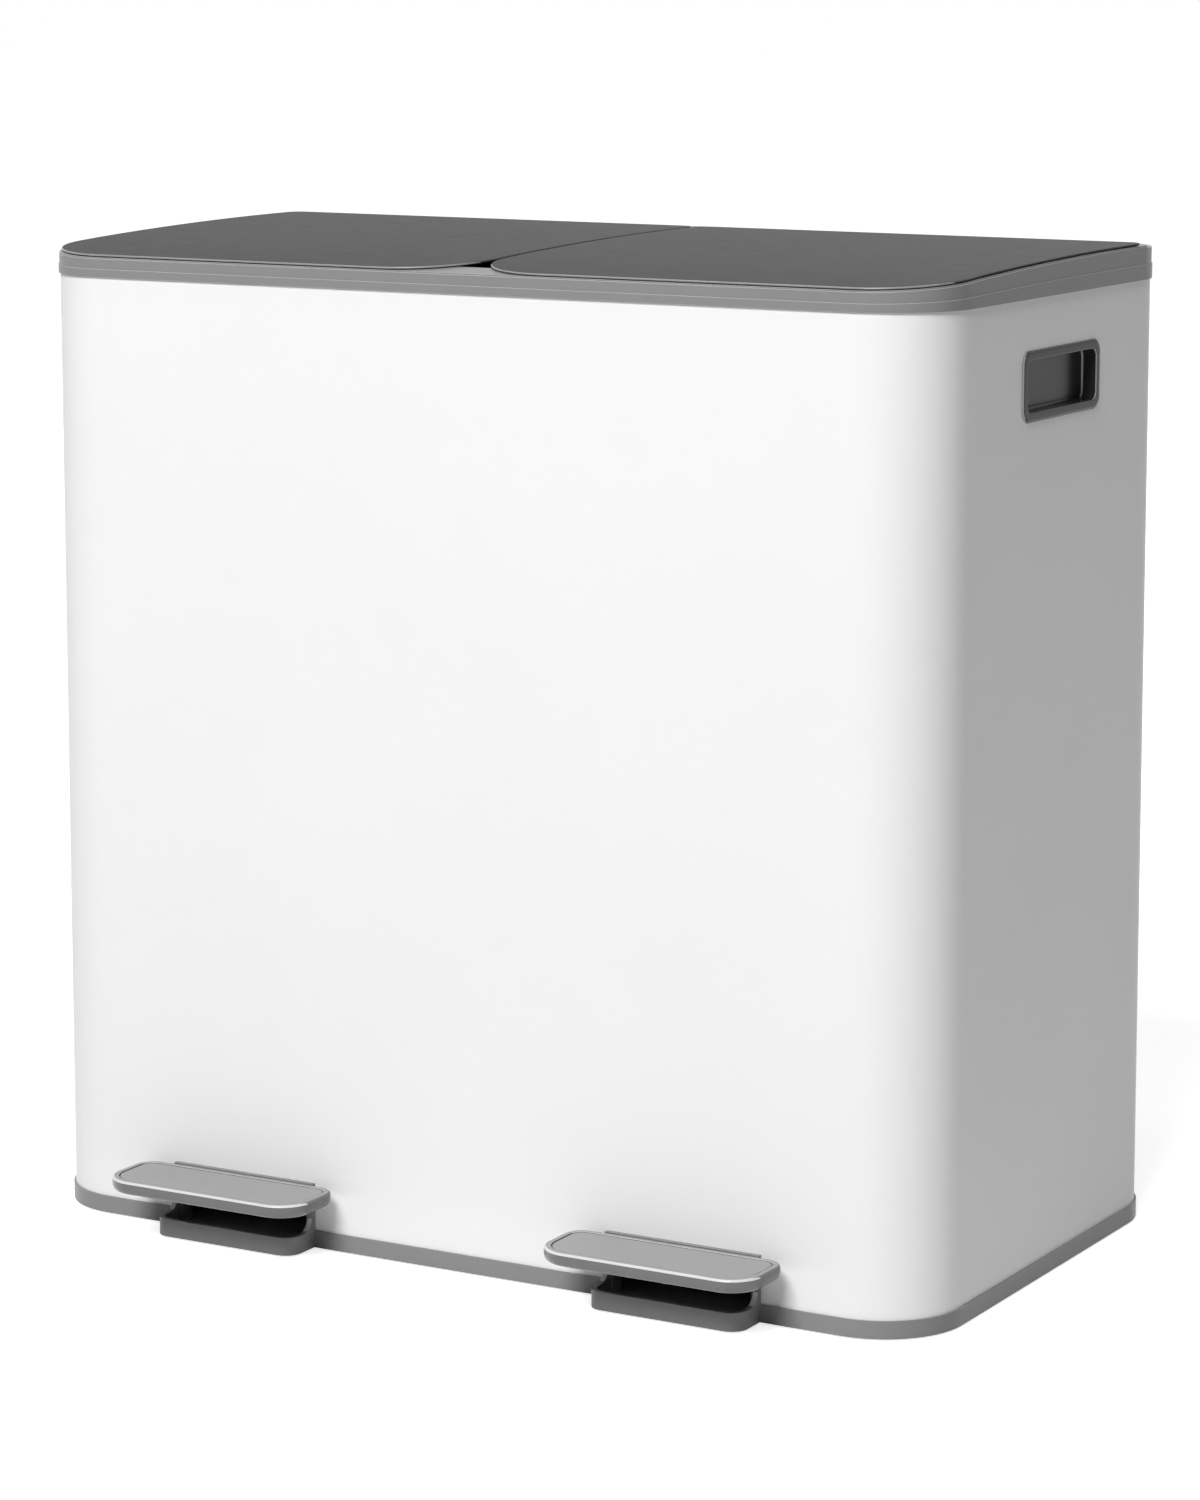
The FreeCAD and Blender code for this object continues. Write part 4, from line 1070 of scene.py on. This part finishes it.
class BIN_OT_buckets(bpy.types.Operator):
    """Lift-out buckets that hang in the mouths"""
    bl_idname = "pedal_bin.buckets"
    bl_label = "Buckets"

    def execute(self, context):
        top = FLANGE_BOTTOM + FLANGE_THICK
        slope = BUCKET_TAPER / (top - BUCKET_BOTTOM)
        middle_x, middle_y = sum(MOUTH_X) / 2, sum(MOUTH_Y) / 2
        long_x, long_y = MOUTH_X[1] - MOUTH_X[0], MOUTH_Y[1] - MOUTH_Y[0]

        def ring(shrink, radius, z):
            shape = (long_x - 2 * shrink, long_y - 2 * shrink, radius)
            return [(middle_x + u, middle_y + v, z) for u, v in rounded_ring(shape, 12)]

        def wall(z, inwards):
            return LEDGE + BUCKET_GAP + slope * (top - z) + inwards

        corner, lip = 0.007, 0.0012
        floor_z = BUCKET_BOTTOM + BUCKET_FLOOR
        rings = [ring(wall(BUCKET_BOTTOM + corner * (1 - math.sin(a)), corner * (1 - math.cos(a))),
                      BUCKET_RADIUS - corner * (1 - math.cos(a)),
                      BUCKET_BOTTOM + corner * (1 - math.sin(a))) for a in quarter(6)[::-1]]
        rings += [ring(wall(FLANGE_BOTTOM, 0.0), BUCKET_RADIUS, FLANGE_BOTTOM)]
        rings += [ring(BUCKET_GAP + lip * (1 - math.cos(a)),
                       MOUTH_RADIUS - BUCKET_GAP - lip * (1 - math.cos(a)),
                       top - lip + lip * math.sin(a)) for a in quarter(4)]
        rings += [ring(wall(top, BUCKET_WALL - lip * (1 - math.sin(a))), BUCKET_RADIUS - BUCKET_WALL,
                       top - lip * (1 - math.cos(a))) for a in quarter(4)]
        rings += [ring(wall(floor_z + corner * (1 - math.sin(a)),
                            BUCKET_WALL + corner * (1 - math.cos(a))),
                       BUCKET_RADIUS - BUCKET_WALL - corner * (1 - math.cos(a)),
                       floor_z + corner * (1 - math.sin(a))) for a in quarter(6)]
        bm = bmesh.new()
        loft(bm, rings)
        piece = smooth(new_piece("bucket_right", bm, bucket_plastic()))
        place_pair(piece, "bucket", "pail_SIDE", "bucket_black")
        return {"FINISHED"}


class BIN_OT_drive(bpy.types.Operator):
    """Levers, rods and guides"""
    bl_idname = "pedal_bin.drive"
    bl_label = "Levers and rods"

    def execute(self, context):
        edge = sizes().steel_edge
        pieces = (("pedal_lever", "pedal_SIDE", "plated_steel", lever_coat, edge),
                  ("push_rod", "rod_SIDE", "plated_steel", zinc_steel, edge),
                  ("axle_bracket", "housing", "plated_steel", zinc_steel, edge),
                  ("rod_guides", "housing", "guide_black", guide_plastic, 2 * edge))
        for side in SIDES:
            for kind, body, slot, finish, width in pieces:
                piece = from_node(f"{kind}_{side}_made", f"{kind}_{side}", finish(), width)
                place(piece, body.replace("SIDE", side), slot, f"{kind}_{side}")
        return {"FINISHED"}


class BIN_OT_pins(bpy.types.Operator):
    """Hinge pins, drive pins and axles"""
    bl_idname = "pedal_bin.pins"
    bl_label = "Pins and axles"

    def execute(self, context):
        bodies = {"hinge_pins": "housing", "drive_pin": "lid_SIDE", "rod_pin": "pedal_SIDE",
                  "lever_axle": "housing", "pedal_screws": "pedal_SIDE"}
        for side in SIDES:
            for kind, body in bodies.items():
                piece = from_node(f"{kind}_{side}_made", f"{kind}_{side}", drawn_steel(), PIN_EDGE,
                                  angle=60.0)
                place(piece, body.replace("SIDE", side), "plated_steel", f"{kind}_{side}")
        return {"FINISHED"}


class BIN_OT_fasteners(bpy.types.Operator):
    """Rivets of the rod guides and screws of the brackets"""
    bl_idname = "pedal_bin.fasteners"
    bl_label = "Rivets and screws"

    def execute(self, context):
        rivets = rivet_tree()
        places = [(side * (DRIVE_X + x), BODY_DEPTH / 2, z) for side in SIDES.values() for x in RIVET_XS
                  for z in RIVET_HEIGHTS]
        piece = rivets.grow("rivets", places, zinc_steel(), Head_radius=0.0034, Head_tall=0.001,
                            Shank_radius=0.0016, Shank_length=0.0041, Turn=(-math.pi / 2, 0.0, 0.0))
        place(smooth(piece), "housing", "plated_steel", "guide_rivets")
        screws = socket_screw_tree()
        for side, sign in SIDES.items():
            places = [(sign * DRIVE_X + x, BRACKET_Y + y, BRACKET_SCREW_Z) for x in BRACKET_SCREW_XS
                      for y in BRACKET_SCREW_YS]
            piece = screws.grow(f"bracket_screws_{side}_made", places, zinc_steel(), Shank_length=0.0043)
            place(smooth(piece), "housing", "plated_steel", f"bracket_screws_{side}")
        return {"FINISHED"}


class BIN_OT_rubber(bpy.types.Operator):
    """Feet, and the buttons that the lids close on"""
    bl_idname = "pedal_bin.rubber"
    bl_label = "Feet and buttons"

    def execute(self, context):
        buttons = button_tree()
        places = [(x, y, FOOT_TALL / 2) for x in FOOT_XS for y in FOOT_YS]
        piece = buttons.grow("feet", places, black_rubber(), Radius=0.012, Tall=FOOT_TALL,
                             Edge=RUBBER_EDGE)
        place(smooth(piece), "housing", "rubber_black", "rubber_feet")
        seat_y, reach = MOUTH_Y[0] - BUTTON_FORWARD, BUTTON_FORWARD / 2
        low, high = BUTTON_LOW, BUTTON_HIGH + crown(seat_y)
        tilt = math.atan2(crown(seat_y + reach) - crown(seat_y - reach), 2 * reach)
        for side, sign in SIDES.items():
            places = [(sign * x, seat_y, (low + high) / 2) for x in BUTTON_XS]
            piece = buttons.grow(f"lid_buttons_{side}", places, black_rubber(), Radius=0.0058,
                                 Tall=high - low - BUTTON_GAP, Edge=RUBBER_EDGE, Turn=(tilt, 0.0, 0.0))
            place(smooth(piece), "housing", "rubber_black", f"lid_bumpers_{side}")
        return {"FINISHED"}


OPERATORS = (BIN_OT_stage, BIN_OT_body_shell, BIN_OT_rim, BIN_OT_base, BIN_OT_lids, BIN_OT_pedals,
             BIN_OT_handle_cups, BIN_OT_buckets, BIN_OT_drive, BIN_OT_pins, BIN_OT_fasteners,
             BIN_OT_rubber)
GROUPS = {"bin_sizes": BinSizes, "bin_finishes": BinFinishes, "bin_stage": BinStage}


class BIN_PT_sidebar(bpy.types.Panel):
    """Sizes, colours and the steps that build the bin"""
    bl_idname = "BIN_PT_sidebar"
    bl_label = "Pedal bin"
    bl_space_type = "VIEW_3D"
    bl_region_type = "UI"
    bl_category = "Pedal bin"

    def draw(self, context):
        layout = self.layout
        for attribute, group in GROUPS.items():
            box = layout.box()
            for name in group.__annotations__:
                box.prop(getattr(context.scene, attribute), name)
        for operator in OPERATORS:
            layout.operator(operator.bl_idname)


def register():
    for group in GROUPS.values():
        bpy.utils.register_class(group)
    for operator in OPERATORS:
        bpy.utils.register_class(operator)
    bpy.utils.register_class(BIN_PT_sidebar)
    for attribute, group in GROUPS.items():
        setattr(bpy.types.Scene, attribute, PointerProperty(type=group))


def unregister():
    for attribute in GROUPS:
        delattr(bpy.types.Scene, attribute)
    bpy.utils.unregister_class(BIN_PT_sidebar)
    for operator in reversed(OPERATORS):
        bpy.utils.unregister_class(operator)
    for group in GROUPS.values():
        bpy.utils.unregister_class(group)


def main():
    register()
    for operator in OPERATORS:
        category, name = operator.bl_idname.split(".")
        getattr(getattr(bpy.ops, category), name)()


if __name__ == "__main__":
    main()
